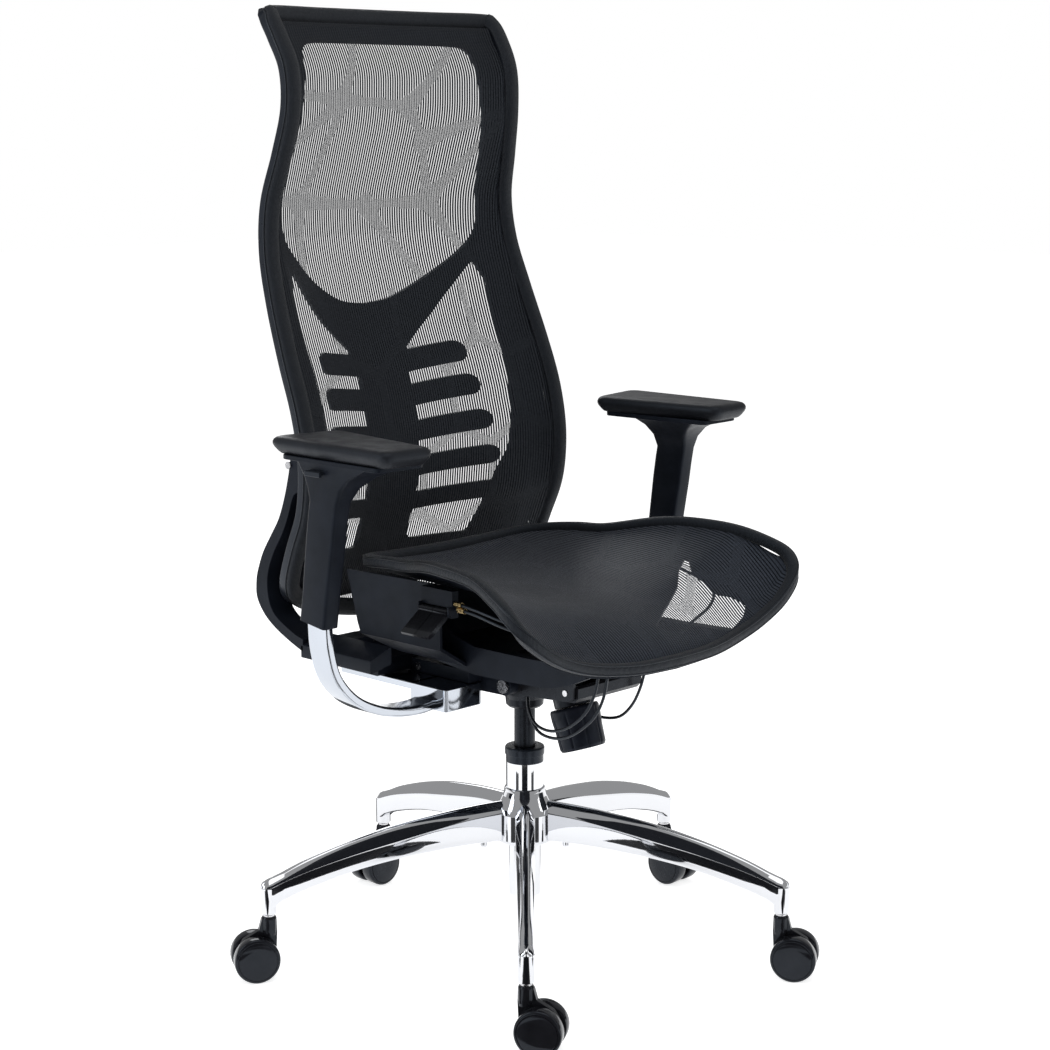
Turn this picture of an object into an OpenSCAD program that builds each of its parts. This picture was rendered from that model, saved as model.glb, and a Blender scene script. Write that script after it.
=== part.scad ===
// Swivel office chair with a mesh back, a mesh seat, height-adjustable arms
// and a five-arm chrome base on twin-wheel casters.
// Millimetres. +Z is up, the origin is on the swivel axis at floor level,
// and the sitter faces -Y, with the sitter's right hand towards -X.

/* [Base] */
// Distance from the swivel axis to each caster stem
stem_circle = 352; // [330:1:360]
// Direction of the first base arm, counted from straight ahead
first_arm_turn = -45.7; // [-90:0.1:90]
// Wheel diameter
wheel_d = 60; // [56:1:60]
// Width of one wheel
wheel_w = 20; // [16:0.5:21]
// Distance from the caster stem to the wheel axle
caster_trail = 19; // [17:0.5:21]

/* [Gas lift] */
// Outer diameter of the chrome tube
tube_d = 50; // [48:0.5:50]
// Diameter of the sliding cylinder
cylinder_d = 28; // [28:0.5:28]
// Height of the top of the chrome tube
tube_top = 279; // [272:1:282]

/* [Back] */
// Side thickness of the back frame
frame_w = 18; // [14:1:20]
// Front-to-back thickness of the back frame
frame_d = 22; // [16:1:24]
// Thickness of the sheet behind the mesh
skeleton_t = 6; // [4:0.5:8]

/* [Seat] */
// Thickness of the seat rim, side to side
rim_w = 16; // [12:1:18]
// Thickness of the seat rim, top to bottom
rim_h = 16; // [14:1:20]
// Thickness of the stretched mesh solids
mesh_t = 4; // [3:0.5:5]

/* [Arms] */
// Distance from the middle of the chair to the middle of each column
column_x = 324; // [320:1:328]
// Forward lean of the tops of the columns
column_lean = 8.5; // [7:0.5:10]
// Thickness of an arm pad
pad_t = 22; // [18:1:24]

/* [Hidden] */
$fn = 64;

// Running clearance round every shaft, on the radius
run = 0.05;
black = [0.07, 0.07, 0.08];
chrome = [0.85, 0.85, 0.87];

// ---- curves and swept solids ----

// A point on the smooth curve between b and c
function curve_point(a, b, c, d, t) =
  0.5 * (2 * b + (c - a) * t + (2 * a - 5 * b + 4 * c - d) * t * t
  + (3 * b - a - 3 * c + d) * t * t * t);

// A smooth open curve through the points p, with n steps between each two
function open_curve(p, n) = let (last = len(p) - 1)
  [for (i = [0:last - 1]) for (k = [0:n - 1])
    curve_point(p[max(i - 1, 0)], p[i], p[i + 1], p[min(i + 2, last)], k / n), p[last]];

function unit(v) = v / norm(v);

// The direction of a path at point i, on an open or a closed path
function heading(path, i, closed) = let (m = len(path))
  closed ? unit(path[(i + 1) % m] - path[(i + m - 1) % m])
         : unit(path[min(i + 1, m - 1)] - path[max(i - 1, 0)]);

// One ring of a sweep: the outline's x goes sideways and its y along ref
function ring(path, i, outline, ref, closed) =
  let (t = heading(path, i, closed), s = unit(cross(t, ref)), d = cross(t, s))
  [for (q = outline) path[i] + q[0] * s + q[1] * d];

// A solid between rings of equal length, closed into a loop or capped
module loft(rings, closed) {
  m = len(rings[0]);
  n = len(rings);
  steps = closed ? n - 1 : n - 2;
  sides = [for (i = [0:steps]) for (j = [0:m - 1])
    let (a = i * m + j, b = i * m + (j + 1) % m,
         c = ((i + 1) % n) * m + (j + 1) % m, d = ((i + 1) % n) * m + j)
    each [[a, c, b], [a, d, c]]];
  caps = closed ? [] : [[for (j = [0:m - 1]) j], [for (j = [m - 1:-1:0]) (n - 1) * m + j]];
  polyhedron(points = [for (r = rings) each r], faces = concat(sides, caps), convexity = 6);
}

module sweep(path, outline, ref, closed = false) {
  loft([for (i = [0:len(path) - 1]) ring(path, i, outline, ref, closed)], closed);
}

// A rectangle with its corners cut by c
function cut_rectangle(w, d, c) = let (x = w / 2, y = d / 2)
  [[-x + c, -y], [x - c, -y], [x, -y + c], [x, y - c],
   [x - c, y], [-x + c, y], [-x, y - c], [-x, -y + c]];

// A round outline of n sides
function round_outline(r, n) = [for (k = [0:n - 1]) r * [cos(360 * k / n), sin(360 * k / n)]];

// A flat outline whose corners are rounded by r; each corner turns left
function rounded(corners, r, steps) = let (m = len(corners))
  [for (i = [0:m - 1]) let (p = corners[i],
      a = unit(corners[(i + m - 1) % m] - p), b = unit(corners[(i + 1) % m] - p),
      half = acos(a * b) / 2, middle = p + unit(a + b) * r / sin(half),
      from = atan2(a[0], -a[1]))
    for (k = [0:steps]) let (turn = from + (180 - 2 * half) * k / steps)
      middle + r * [cos(turn), sin(turn)]];

// A sheet with holes between two grids of points; cells[j][i] is 1 where the sheet is solid
module grid_sheet(front, back, cells) {
  n = len(front[0]);
  function solid(i, j) = j >= 0 && j < len(cells) && i >= 0 && i < n - 1 && cells[j][i] == 1;
  function index(i, j) = 2 * (j * n + i);
  function cell(i, j) = let (a = index(i, j), b = index(i + 1, j), c = index(i + 1, j + 1),
      d = index(i, j + 1))
    [[a, d, c], [a, c, b], [a + 1, c + 1, d + 1], [a + 1, b + 1, c + 1],
     if (!solid(i, j - 1)) each [[a, b, b + 1], [a, b + 1, a + 1]],
     if (!solid(i, j + 1)) each [[c, d, d + 1], [c, d + 1, c + 1]],
     if (!solid(i - 1, j)) each [[d, a, a + 1], [d, a + 1, d + 1]],
     if (!solid(i + 1, j)) each [[b, c, c + 1], [b, c + 1, b + 1]]];
  polyhedron(points = [for (j = [0:len(cells)]) for (i = [0:n - 1]) each [front[j][i], back[j][i]]],
    faces = [for (j = [0:len(cells) - 1]) for (i = [0:n - 2]) if (solid(i, j)) each cell(i, j)],
    convexity = 6);
}

// A plate in the Y-Z plane between x0 and x1
module side_plate(outline, x0, x1) {
  translate([x0, 0, 0]) rotate([90, 0, 90]) linear_extrude(height = x1 - x0) polygon(outline);
}

// The same child on the sitter's right, which is -X, and on the left
module both_sides() {
  children();
  mirror([1, 0, 0]) children();
}

// A cylinder along X, from x0 to x1
module bar_x(r, x0, x1, y, z) {
  translate([x0, y, z]) rotate([0, 90, 0]) cylinder(r = r, h = x1 - x0);
}

// ---- base ----

arm_count = 5;
function arm_turn(k) = first_arm_turn + 72 * k - 90;
boss_r = 10.5;
boss_low = 87;
stem_r = 5.5;
tube_r = tube_d / 2;
hub_low = 152;

// Stations along one arm: distance out, underside, shoulder, ridge, half width
arm_stations = [
  [20, 157, 197, 209, 13], [40, 156, 196, 208.5, 13], [80, 155, 192, 205, 12.8],
  [120, 152, 185, 200, 12.4], [180, 145, 172, 190, 11.8], [240, 134, 159, 175, 11],
  [300, 117, 143, 155, 10], [345, 101, 127, 136, 9.2], [stem_circle + 9, 95, 122, 131, 8.6]];

function arm_ring(s) = let (w = s[4], low = s[1], side = s[2], top = s[3])
  [[s[0], w - 2, low], [s[0], w, low + 3], [s[0], w, side], [s[0], w * 0.35, top - 1.5],
   [s[0], w * 0.15, top], [s[0], -w * 0.15, top], [s[0], -w * 0.35, top - 1.5],
   [s[0], -w, side], [s[0], -w, low + 3], [s[0], -w + 2, low]];

module base_arm() {
  loft([for (s = open_curve(arm_stations, 2)) arm_ring(s)], false);
  translate([stem_circle, 0, boss_low]) cylinder(r = boss_r, h = 30);
  translate([58, 0, 148]) cylinder(r = 5, h = 9);
}

module base_star() {
  color(chrome) difference() {
    union() {
      rotate_extrude() polygon([[0, hub_low], [36, hub_low], [39, 156], [39, 196],
        [36, 204], [30, 214], [27.5, 222], [27, 228], [0, 228]]);
      for (k = [0:arm_count - 1]) rotate([0, 0, arm_turn(k)]) base_arm();
    }
    translate([0, 0, hub_low - 1]) cylinder(r = tube_r + run, h = 80);
    for (k = [0:arm_count - 1]) rotate([0, 0, arm_turn(k)]) translate([stem_circle, 0, boss_low - 1])
      cylinder(r = stem_r + run, h = 31);
  }
}

// ---- gas lift ----

cylinder_r = cylinder_d / 2;
tube_low = 76;
rod_r = 5;

module gas_tube() {
  color(chrome) rotate_extrude() polygon([[rod_r + run, tube_low], [21, tube_low], [22, 78],
    [22, 150], [tube_r, 156], [tube_r, tube_top], [23, tube_top], [23, 158], [20, 152],
    [20, 81], [rod_r + run, 81]]);
}

module gas_tube_collar() {
  color(black) rotate_extrude() polygon([[cylinder_r + run, 205], [22.9, 205], [22.9, tube_top],
    [tube_r + 0.1, tube_top], [tube_r + 0.1, 272], [26.2, 272], [26.6, 274], [26.6, 281],
    [25.4, 283], [16.5, 283], [cylinder_r + run, 281.5]]);
}

module gas_rod() {
  color("silver") rotate_extrude() polygon([[0, 70], [4.4, 70], [rod_r, 70.8], [rod_r, 228],
    [11.4, 228], [11.4, 240], [0, 240]]);
}

module gas_rod_clip() {
  color("silver") rotate_extrude() polygon([[rod_r, 73], [9, 73], [9, 75.8], [rod_r, 75.8]]);
}

cylinder_low = 145;
cylinder_top = 384;
valve_r = 4;

module gas_cylinder() {
  color([0.1, 0.1, 0.11]) rotate_extrude() polygon([[rod_r + 0.4, cylinder_low], [13, cylinder_low],
    [cylinder_r, 146], [cylinder_r, 382], [13, cylinder_top], [valve_r + run, cylinder_top],
    [valve_r + run, 376], [12, 376], [12, 153], [rod_r + 0.4, 153]]);
}

module gas_valve() {
  color("silver") translate([0, 0, 378]) cylinder(r = valve_r, h = 12);
}

// ---- tilt mechanism ----

// Recline pivot of the back and front pivot of the seat, in the Y-Z plane
recline_y = -40;
recline_z = 385;
seat_pivot_y = -135;
seat_pivot_z = 390;
pin_r = 6;
housing_x = 60;
wall = 4;
// Pivot of the lever that presses the gas valve
lever_x = -42;
lever_z = 391;
lever_pin_r = 2;
// The knob's axis leans forward at its lower end
knob_lean = 18.5;
knob_y = -98;
knob_z = 326;
knob_half = 28;
spring_tube_r = 25;
screw_r = 5;

module along_knob() {
  translate([0, knob_y, knob_z]) rotate([-knob_lean, 0, 0]) children();
}

housing_side = [[80, 390], [80, 378], [40, 368], [-45, 368], [-60, 372], [-146, 378],
  [-152, 384], [-152, 397], [-148, 400], [20, 400]];
housing_hollow = [[76, 392], [76, 381], [38, 372], [-43, 372], [-58, 376], [-144, 382],
  [-148, 386], [-148, 402], [20, 402]];

module mechanism_housing() {
  color([0.1, 0.1, 0.11]) difference() {
    union() {
      difference() {
        side_plate(housing_side, -housing_x, housing_x);
        side_plate(housing_hollow, -housing_x + wall, housing_x - wall);
      }
      rotate_extrude() polygon([[0, 338], [22, 338], [25, 341], [26, 350], [32, 360], [46, 370],
        [46, 372], [24, 374], [20, 382], [0, 382]]);
      for (y = [-9.6, 6.6]) translate([lever_x - 5, y, 371]) cube([10, 3, 23]);
    }
    translate([lever_x, -10, lever_z]) rotate([-90, 0, 0]) cylinder(r = lever_pin_r, h = 20);
    translate([0, 0, 337]) cylinder(r = cylinder_r + run, h = 46);
    along_knob() translate([0, 0, 20]) cylinder(r = spring_tube_r, h = 44);
    bar_x(pin_r + run, -70, 70, recline_y, recline_z);
    bar_x(4 + run, -70, 70, seat_pivot_y, seat_pivot_z);
  }
}

module mechanism_pins() {
  color("silver") {
    bar_x(pin_r, -82, 82, recline_y, recline_z);
    both_sides() bar_x(9, 80.4, 84, recline_y, recline_z);
    bar_x(4, -67, 67, seat_pivot_y, seat_pivot_z);
    along_knob() translate([0, 0, -18]) cylinder(r = screw_r, h = 76);
    translate([lever_x, -9.6, lever_z]) rotate([-90, 0, 0]) cylinder(r = lever_pin_r, h = 19.2);
  }
}

module spring_tube() {
  color(black) along_knob() rotate_extrude() polygon([[screw_r + run, 29], [24, 29],
    [spring_tube_r, 30], [spring_tube_r, 62], [22, 62], [22, 33], [screw_r + run, 33]]);
}

spring_turns = 4;
spring_r = 16;
spring_wire_r = 2.2;
spring_steps = 16;
spring_path = [for (i = [0:spring_turns * spring_steps]) let (a = 360 * i / spring_steps)
  [spring_r * cos(a), spring_r * sin(a), 35.5 + 6 * i / spring_steps]];

module tilt_spring() {
  color("silver") along_knob()
    sweep(spring_path, round_outline(spring_wire_r, 8), [0, 0, 1]);
}

module gas_lever() {
  color("silver") difference() {
    union() {
      translate([lever_x - 6, -6, lever_z - 3.5]) cube([12, 12, 7]);
      translate([lever_x, -6, lever_z - 0.5]) cube([50, 12, 3]);
    }
    translate([lever_x, -10, lever_z]) rotate([-90, 0, 0]) cylinder(r = lever_pin_r + run, h = 20);
  }
}

module tension_knob() {
  color(black) along_knob() difference() {
    rotate_extrude() polygon([[0, -knob_half], [28, -knob_half], [30.5, 2 - knob_half],
      [32.5, knob_half - 2], [31, knob_half], [0, knob_half]]);
    translate([0, 0, -20]) cylinder(r = screw_r + run, h = 60);
  }
}

// ---- seat ----

// Centre line of half of the rim, from the middle of the back to the middle of the front
rim_half = [[0, 160, 530], [85, 158, 532], [140, 146, 537], [168, 115, 542], [178, 70, 547],
  [186, 24, 550], [216, -38, 562], [232, -85, 566], [246, -155, 563], [261, -208, 548],
  [265, -232, 534], [255, -247, 512], [225, -252, 487], [185, -252, 467], [135, -254, 453],
  [70, -262, 445], [0, -266, 444]];
rim_curve = open_curve(rim_half, 2);
rim_loop = [each rim_curve,
  for (i = [len(rim_curve) - 2:-1:1]) [-rim_curve[i][0], rim_curve[i][1], rim_curve[i][2]]];

module seat_rim() {
  color(black) sweep(rim_loop, [for (k = [0:9]) [rim_w / 2 * cos(36 * k), rim_h / 2 * sin(36 * k)]],
    [0, 0, 1], true);
}

// Height of the mesh along the middle of the seat, as [y, z]
seat_middle = [[-266, 446], [-250, 466], [-225, 482], [-180, 498], [-120, 508], [-40, 512],
  [60, 513], [120, 518], [160, 530]];
mesh_columns = 10;

// One cross line of the mesh, from rim to rim, at half-rim station i
function seat_line(i, drop) = let (p = rim_curve[i], w = max(p[0] - rim_w / 2 - 1.5, 0.5),
    middle = lookup(p[1], seat_middle))
  [for (k = [0:mesh_columns]) let (u = 2 * k / mesh_columns - 1)
    [u * w, p[1], middle + (p[2] - middle) * u * u - drop]];

// Half-rim stations between which the mesh is clear of the rim's ends
mesh_stations = [4:21];

module seat_mesh() {
  color([0.14, 0.14, 0.16]) loft([for (i = mesh_stations)
    concat(seat_line(i, mesh_t), [for (k = [mesh_columns:-1:0]) seat_line(i, 0)[k]])], false);
}

// Moulded tray close under the mesh, with a window at its front left:
// half-rim station, then the window's inner and outer edge as shares of the half width
tray_window = [[15, 0.68, 0.74], [16, 0.52, 0.67], [17, 0.3, 0.63], [18, 0.09, 0.69],
  [19, 0.12, 0.7], [20, 0.22, 0.62]];
tray_stations = [21:-1:4];
tray_t = 4;
tray_edge = 1.012;

function tray_share(i, line) = line == 0 ? 0 : line == 3 ? tray_edge
  : lookup(i, [for (w = tray_window) [w[0], w[line]]]);

function tray_point(i, line, drop) = let (p = rim_curve[i], w = p[0] - rim_w / 2 - 1.5,
    u = tray_share(i, abs(line)), middle = lookup(p[1], seat_middle))
  [sign(line) * u * w, p[1], middle + (p[2] - middle) * u * u - 16 + 9 * u - drop];

module seat_tray() {
  function grid(drop) = [for (i = tray_stations) [for (line = [-3:3]) tray_point(i, line, drop)]];
  color(black) grid_sheet(grid(0), grid(tray_t), [for (i = [20:-1:4])
    [1, 1, 1, 1, i >= 15 && i < 20 ? 0 : 1, 1]]);
}

// Tub under the rear of the seat, the two beams that run forward to the rim and the bar between
// them, which rests on the steel plate
tub_section = [[196, 536], [196, 452], [150, 424], [-150, 424], [-196, 452], [-196, 536],
  [-192, 536], [-192, 454.5], [-149, 428], [149, 428], [192, 454.5], [192, 536]];
tub_side = [[-42, 420], [70, 420], [92, 430], [104, 446], [112, 465], [122, 500], [132, 533],
  [-30, 536], [-42, 528]];
beam_side = [[66, 437], [40, 430], [9, 423], [-57, 416], [-120, 417], [-167, 419], [-192, 422],
  [-222, 431], [-248, 443], [-236, 455], [-152, 452], [-57, 452], [-18, 462], [10, 480], [66, 480]];

module seat_pan() {
  color(black) {
    intersection() {
      rotate([90, 0, 0]) translate([0, 0, -150]) linear_extrude(height = 192) polygon(tub_section);
      side_plate(tub_side, -200, 200);
    }
    side_plate([[86, 427], [90, 427], [110, 466], [119, 492], [115, 492], [106, 468]], -149, 149);
    both_sides() side_plate(beam_side, -150, -134);
    translate([-135, -150, 424]) cube([270, 14, 16]);
  }
}

// Steel plate on the front pivot, under the tub
module seat_plate() {
  color([0.12, 0.12, 0.13]) difference() {
    union() {
      translate([-66, -150, 420.5]) cube([132, 200, 3.5]);
      both_sides() side_plate([[-150, 424], [-148, 384], [-142, 380], [-126, 380], [-120, 386],
        [-118, 424]], -66, -61.5);
    }
    bar_x(4 + run, -70, 70, seat_pivot_y, seat_pivot_z);
  }
}

// Lever boxes on the outside of the tub and their paddles
hinge_x = 209;
hinge_z = 507;
paddle_w = 24;

module lever_box(y0, y1) {
  difference() {
    translate([-206.5, y0 - 3, 500]) cube([10.5, y1 - y0 + 6, 34]);
    translate([-hinge_x, y0, hinge_z]) rotate([-90, 0, 0]) cylinder(r = 6.5, h = y1 - y0);
  }
  translate([-hinge_x, y0 - 2, hinge_z]) rotate([-90, 0, 0]) cylinder(r = 2, h = y1 - y0 + 4);
  for (y = [y0 - 3, y1 + 0.5]) translate([-213, y, 503]) cube([10, 2.5, 12]);
}

module lever_box_right() {
  color(black) lever_box(-72, -22);
}

module lever_box_left() {
  color(black) mirror([1, 0, 0]) lever_box(-60, -34);
}

module paddle(y0) {
  translate([-hinge_x, y0, hinge_z]) rotate([-90, 0, 0]) difference() {
    union() {
      cylinder(r = 5, h = paddle_w);
      linear_extrude(height = paddle_w) polygon([[1, 4.4], [-3, 0], [-30, 20], [-36, 25],
        [-34, 28], [-28, 26]]);
    }
    translate([0, 0, -1]) cylinder(r = 2 + run, h = paddle_w + 2);
  }
}

module height_paddle() {
  color(black) paddle(-71.5);
}

module tilt_paddle() {
  color(black) paddle(-46.5);
}

module left_paddle() {
  color(black) mirror([1, 0, 0]) paddle(-59);
}

// ---- control cables ----

cable_r = 2;
height_route = [[-201, -76, 512], [-201, -110, 509], [-196, -150, 500], [-180, -185, 490],
  [-150, -201, 478], [-115, -204, 468], [-85, -204, 458], [-66, -203, 446], [-58, -201, 432],
  [-57, -198, 416], [-58, -193, 392], [-60, -182, 369], [-62, -165, 351], [-64, -142, 335],
  [-64, -117, 327], [-62, -92, 327], [-59, -76, 333], [-55, -63, 344], [-49, -53, 355],
  [-44, -48, 366]];
tilt_route = [[-202, -76, 519], [-201, -110, 515], [-196, -150, 507], [-180, -186, 497],
  [-150, -203, 485], [-116, -205, 474], [-88, -202, 463], [-72, -197, 449], [-67, -193, 432],
  [-66, -190, 414], [-66, -184, 394], [-68, -174, 374], [-70, -159, 358], [-71, -139, 345],
  [-71, -116, 338], [-69, -95, 338], [-66, -80, 343], [-61, -68, 352], [-56, -60, 361],
  [-52, -56, 368]];
left_route = [[201, -64, 512], [201, -100, 508], [196, -140, 500], [180, -174, 490],
  [150, -192, 478], [112, -196, 465], [84, -194, 450], [66, -184, 437], [57, -174, 423],
  [53, -167, 407], [50, -160, 380], [50, -146, 355], [50, -125, 336], [48, -98, 330],
  [44, -76, 335], [40, -59, 348], [36, -49, 367]];

module cable(route) {
  sweep(open_curve(route, 3), round_outline(cable_r, 8), [0.2, 0.35, 1]);
}

module cable_height() {
  color(black) cable(height_route);
}

module cable_tilt() {
  color(black) cable(tilt_route);
}

module cable_left() {
  color(black) cable(left_route);
}

module cable_ferrules() {
  color("goldenrod") {
    for (p = [[-201, -80, 511], [-202, -76, 518]]) translate(p) rotate([90, 0, 0]) ferrule();
    translate([201, -68, 511]) rotate([90, 0, 0]) ferrule();
  }
}

module ferrule() {
  difference() {
    cylinder(r = 3.6, h = 12);
    translate([0, 0, -1]) cylinder(r = cable_r + 0.9, h = 14);
  }
}

// ---- back ----

// Front edge of the frame against height, and its half width against height
front_y = [[446, 229], [458, 227], [472, 221], [488, 210], [512, 196], [535, 185], [566, 172],
  [596, 160], [626, 155], [655, 153],
  [690, 155], [723, 163], [742, 168], [779, 181], [817, 197], [854, 211], [891, 223],
  [929, 236], [967, 243], [1006, 243], [1044, 233], [1069, 226], [1094, 219], [1119, 215],
  [1144, 215], [1169, 217], [1194, 228], [1213, 240], [1232, 250], [1250, 266]];

// Centre line of half of the frame, from the middle of the bottom to the middle of the top
frame_half = [[0, 240, 446], [70, 240, 448], [125, 237, 457], [180, 231, 472], [214, 220, 489],
  [230, 207, 512], [234, 188, 556], [234, 169, 600], [234, 162, 645], [234, 164, 690], [234, 176, 742],
  [233, 198, 800], [228, 226, 872], [221, 247, 938], [214, 251, 1000], [206, 236, 1062],
  [200, 224, 1120], [200, 226, 1172], [202, 245, 1212], [200, 262, 1236], [186, 272, 1241],
  [100, 280, 1241], [0, 283, 1241]];
frame_curve = open_curve(frame_half, 2);
frame_loop = [each frame_curve,
  for (i = [len(frame_curve) - 2:-1:1])
    [-frame_curve[i][0], frame_curve[i][1], frame_curve[i][2]]];

module back_frame() {
  color(black) sweep(frame_loop, cut_rectangle(frame_w, frame_d, 4), [0, 1, 0], true);
}

// How far the mesh bows backward in its middle, against height
mesh_bow = [[446, 6], [475, 16], [650, 28], [950, 24], [1250, 10]];
mesh_low = 458;
mesh_high = 1229;
mesh_rows = 25;
frame_inner = [[458, 60], [466, 118], [478, 162], [490, 190], [504, 206], [520, 214], [560, 221],
  [740, 222], [800, 221],
  [872, 216], [938, 209], [1000, 202], [1062, 194], [1120, 188], [1172, 188], [1240, 186]];

function mesh_y(u, z) = lookup(z, front_y) + 4 + lookup(z, mesh_bow) * (1 - u * u);

function back_line(z, back) = let (w = lookup(z, frame_inner))
  [for (k = [0:mesh_columns]) let (u = 2 * k / mesh_columns - 1) [u * w, mesh_y(u, z) + back, z]];

module back_mesh() {
  color([0.12, 0.12, 0.14]) loft([for (i = [0:mesh_rows])
    let (z = mesh_low + (mesh_high - mesh_low) * i / mesh_rows, rear = back_line(z, mesh_t))
    concat(back_line(z, 0), [for (k = [mesh_columns:-1:0]) rear[k]])], false);
}

// The sheet behind the mesh is deepest in the middle of the lower back
sheet_bow = [[455, 6], [475, 34], [540, 76], [850, 76], [930, 50], [1010, 30], [1250, 8]];
function sheet_y(x, z) = lookup(z, front_y) + 20
  + lookup(z, sheet_bow) * (1 - pow(min(abs(x) / 190, 1), 2));

// Upright lines of the sheet from the middle outward, each as [height, half width]:
// middle, edge of the spine, middle and tip of the ribs, inner and outer edge of the border
sheet_lines = [[[462, 0], [1234, 0]],
  [[462, 24], [490, 50], [560, 52], [640, 54], [740, 58], [800, 60], [1234, 60]],
  [[462, 45], [490, 100], [1234, 105]],
  [[462, 66], [490, 145], [600, 154], [800, 137], [850, 137], [930, 142], [1234, 128]],
  [[462, 84], [490, 168], [537, 180], [580, 187], [890, 187], [950, 181], [987, 180], [1144, 162],
    [1234, 158]],
  [[462, 104], [478, 170], [492, 200], [520, 220], [560, 226], [800, 226], [872, 222], [938, 216],
    [1000, 209], [1062, 201], [1120, 195], [1234, 196]]];

// Cross lines of the sheet from the bottom up: height in the middle, rise towards the side,
// and which cells above the line are solid, from the middle outward
rib_pitch = 49;
first_rib_z = 567;
rib_h = 28;
sheet_rows = [[462, 0, [1, 1, 1, 1, 1]], [492, 0, [1, 1, 1, 1, 1]], [524, 0, [1, 0, 0, 0, 1]],
  for (k = [0:4]) each [[first_rib_z + rib_pitch * k, 0, [1, 1, 1, 0, 1]],
    [first_rib_z + rib_h + rib_pitch * k, 0, [1, 0, 0, 0, 1]]],
  [803, 60, [1, 1, 1, 1, 1]], [855, 81, [0, 0, 0, 0, 1]], [900, 62, [0, 0, 0, 0, 1]],
  [950, 37, [0, 0, 0, 0, 1]], [1000, 15, [0, 0, 0, 0, 1]], [1045, 5, [0, 0, 0, 0, 1]],
  [1095, 0, [0, 0, 0, 0, 1]], [1145, 0, [0, 0, 0, 0, 1]], [1175, 0, [0, 0, 0, 0, 1]],
  [1205, 0, [1, 1, 1, 1, 1]], [1234, 0, [0, 0, 0, 0, 0]]];
sheet_columns = len(sheet_lines) - 1;

// The grid point where cross line j meets upright line i, which is negative on the right
function sheet_point(i, j, back) = let (row = sheet_rows[j], x = lookup(row[0], sheet_lines[abs(i)]),
    z = row[0] + row[1] * pow(min(x, 187) / 160, 1.8))
  [sign(i) * x, sheet_y(x, z) + back, z];

module back_skeleton() {
  function grid(back) = [for (j = [0:len(sheet_rows) - 1])
    [for (i = [-sheet_columns:sheet_columns]) sheet_point(i, j, back)]];
  color(black) grid_sheet(grid(0), grid(skeleton_t), [for (j = [0:len(sheet_rows) - 2])
    [for (i = [1 - sheet_columns:sheet_columns]) sheet_rows[j][2][i > 0 ? i - 1 : -i]]]);
}

// Support bar: two J-shaped side arms, a cross bar and the ears on the recline pivot
j_outline = [[165, 700], [165, 634], [181, 630], [195, 597], [207, 574], [223, 550], [234, 527],
  [238, 509], [237, 491], [232, 476], [222, 464], [204, 454], [183, 445], [168, 441], [168, 424],
  [194, 434], [220, 446], [239, 458], [252, 471], [260, 485], [261, 500], [258, 518], [246, 546],
  [229, 571], [212, 596], [199, 628], [190, 660], [184, 688], [174, 702]];
// The part of each J below this height is a deep tray that opens forward
j_tray_top = 590;
j_outer = 242;
j_inner = 228;
tray_inner = 206;
// Lower limb of each J, in the X-Z plane; its top falls towards the outside
limb_section = [[-j_outer, 415.5], [-tray_inner, 424], [-tray_inner, 447], [-j_outer, 433.5]];
cross_side = [[108, 388], [196, 388], [208, 396], [208, 420], [198, 428], [134, 428],
  [132, 416], [112, 408], [108, 400]];
ear_side = [[-40, 373], [40, 371], [108, 380], [112, 388], [112, 406], [60, 402], [-40, 397]];

module j_arm() {
  side_plate(j_outline, -j_outer, -j_inner);
  intersection() {
    side_plate(j_outline, -j_inner - 1, -tray_inner);
    translate([-j_outer, 100, 400]) cube([60, 200, j_tray_top - 400]);
  }
  translate([0, 172, 0]) rotate([90, 0, 0]) linear_extrude(height = 135) polygon(limb_section);
  translate([-tray_inner - 1, 136, 416]) cube([60, 36, 20]);
}

module back_support() {
  color(black) difference() {
    union() {
      both_sides() {
        j_arm();
        side_plate(ear_side, -80, -66);
        bar_x(12.5, -80, -66, recline_y, recline_z);
        translate([-104, 0, 386]) cube([38, 116, 17]);
      }
      side_plate(cross_side, -165, 165);
    }
    bar_x(pin_r + run, -90, 90, recline_y, recline_z);
  }
}

module back_bolts() {
  color("silver") both_sides() {
    bar_x(5, -244.5, -240, 189, 668);
    bar_x(5, -106, -100, 95, 394);
    for (y = [110, 180]) translate([-118, y, 372.5]) cylinder(r = 6, h = 4);
  }
}

// ---- arms ----

// Swoop of the chrome strap, in the X-Z plane, from the front block to the column
strap_half = [[-146, 362], [-170, 360], [-205, 363], [-243, 373], [-281, 393], [-309, 424],
  [-321, 460], [-324, 495], [-324, 522]];
strap_y = 38;
strap_w = 36;
strap_t = 12;
strap_path = [for (p = open_curve(strap_half, 3)) [p[0], strap_y, p[1]]];
tongue_w = 9;
tongue_d = 30;
column_y = 40;
column_low = 495;

module arm_bracket() {
  sweep(strap_path, cut_rectangle(strap_t, strap_w, 2), [0, 1, 0]);
  on_column() translate([-tongue_w / 2, -tongue_d / 2, 5]) cube([tongue_w, tongue_d, 135]);
  translate([-150, -4, 356]) cube([66, 68, 29.5]);
  translate([-150, 60, 376.5]) cube([66, 140, 9]);
}

module arm_bracket_right() {
  color(chrome) arm_bracket();
}

module arm_bracket_left() {
  color(chrome) mirror([1, 0, 0]) arm_bracket();
}

sleeve_w = 25;
// Front-to-back size of the sleeve at its foot and at its top
sleeve_foot_d = 46;
sleeve_top_d = 50;
pad_top = 724.5;
pad_low = pad_top - pad_t;
flange_t = 6;
// Room inside the foot of the sleeve for the upright end of the strap
strap_slot = 42;

// Children are drawn upright, with the foot of the column at the origin
module on_column() {
  translate([-column_x, column_y, column_low]) rotate([column_lean, 0, 0]) children();
}

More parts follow.
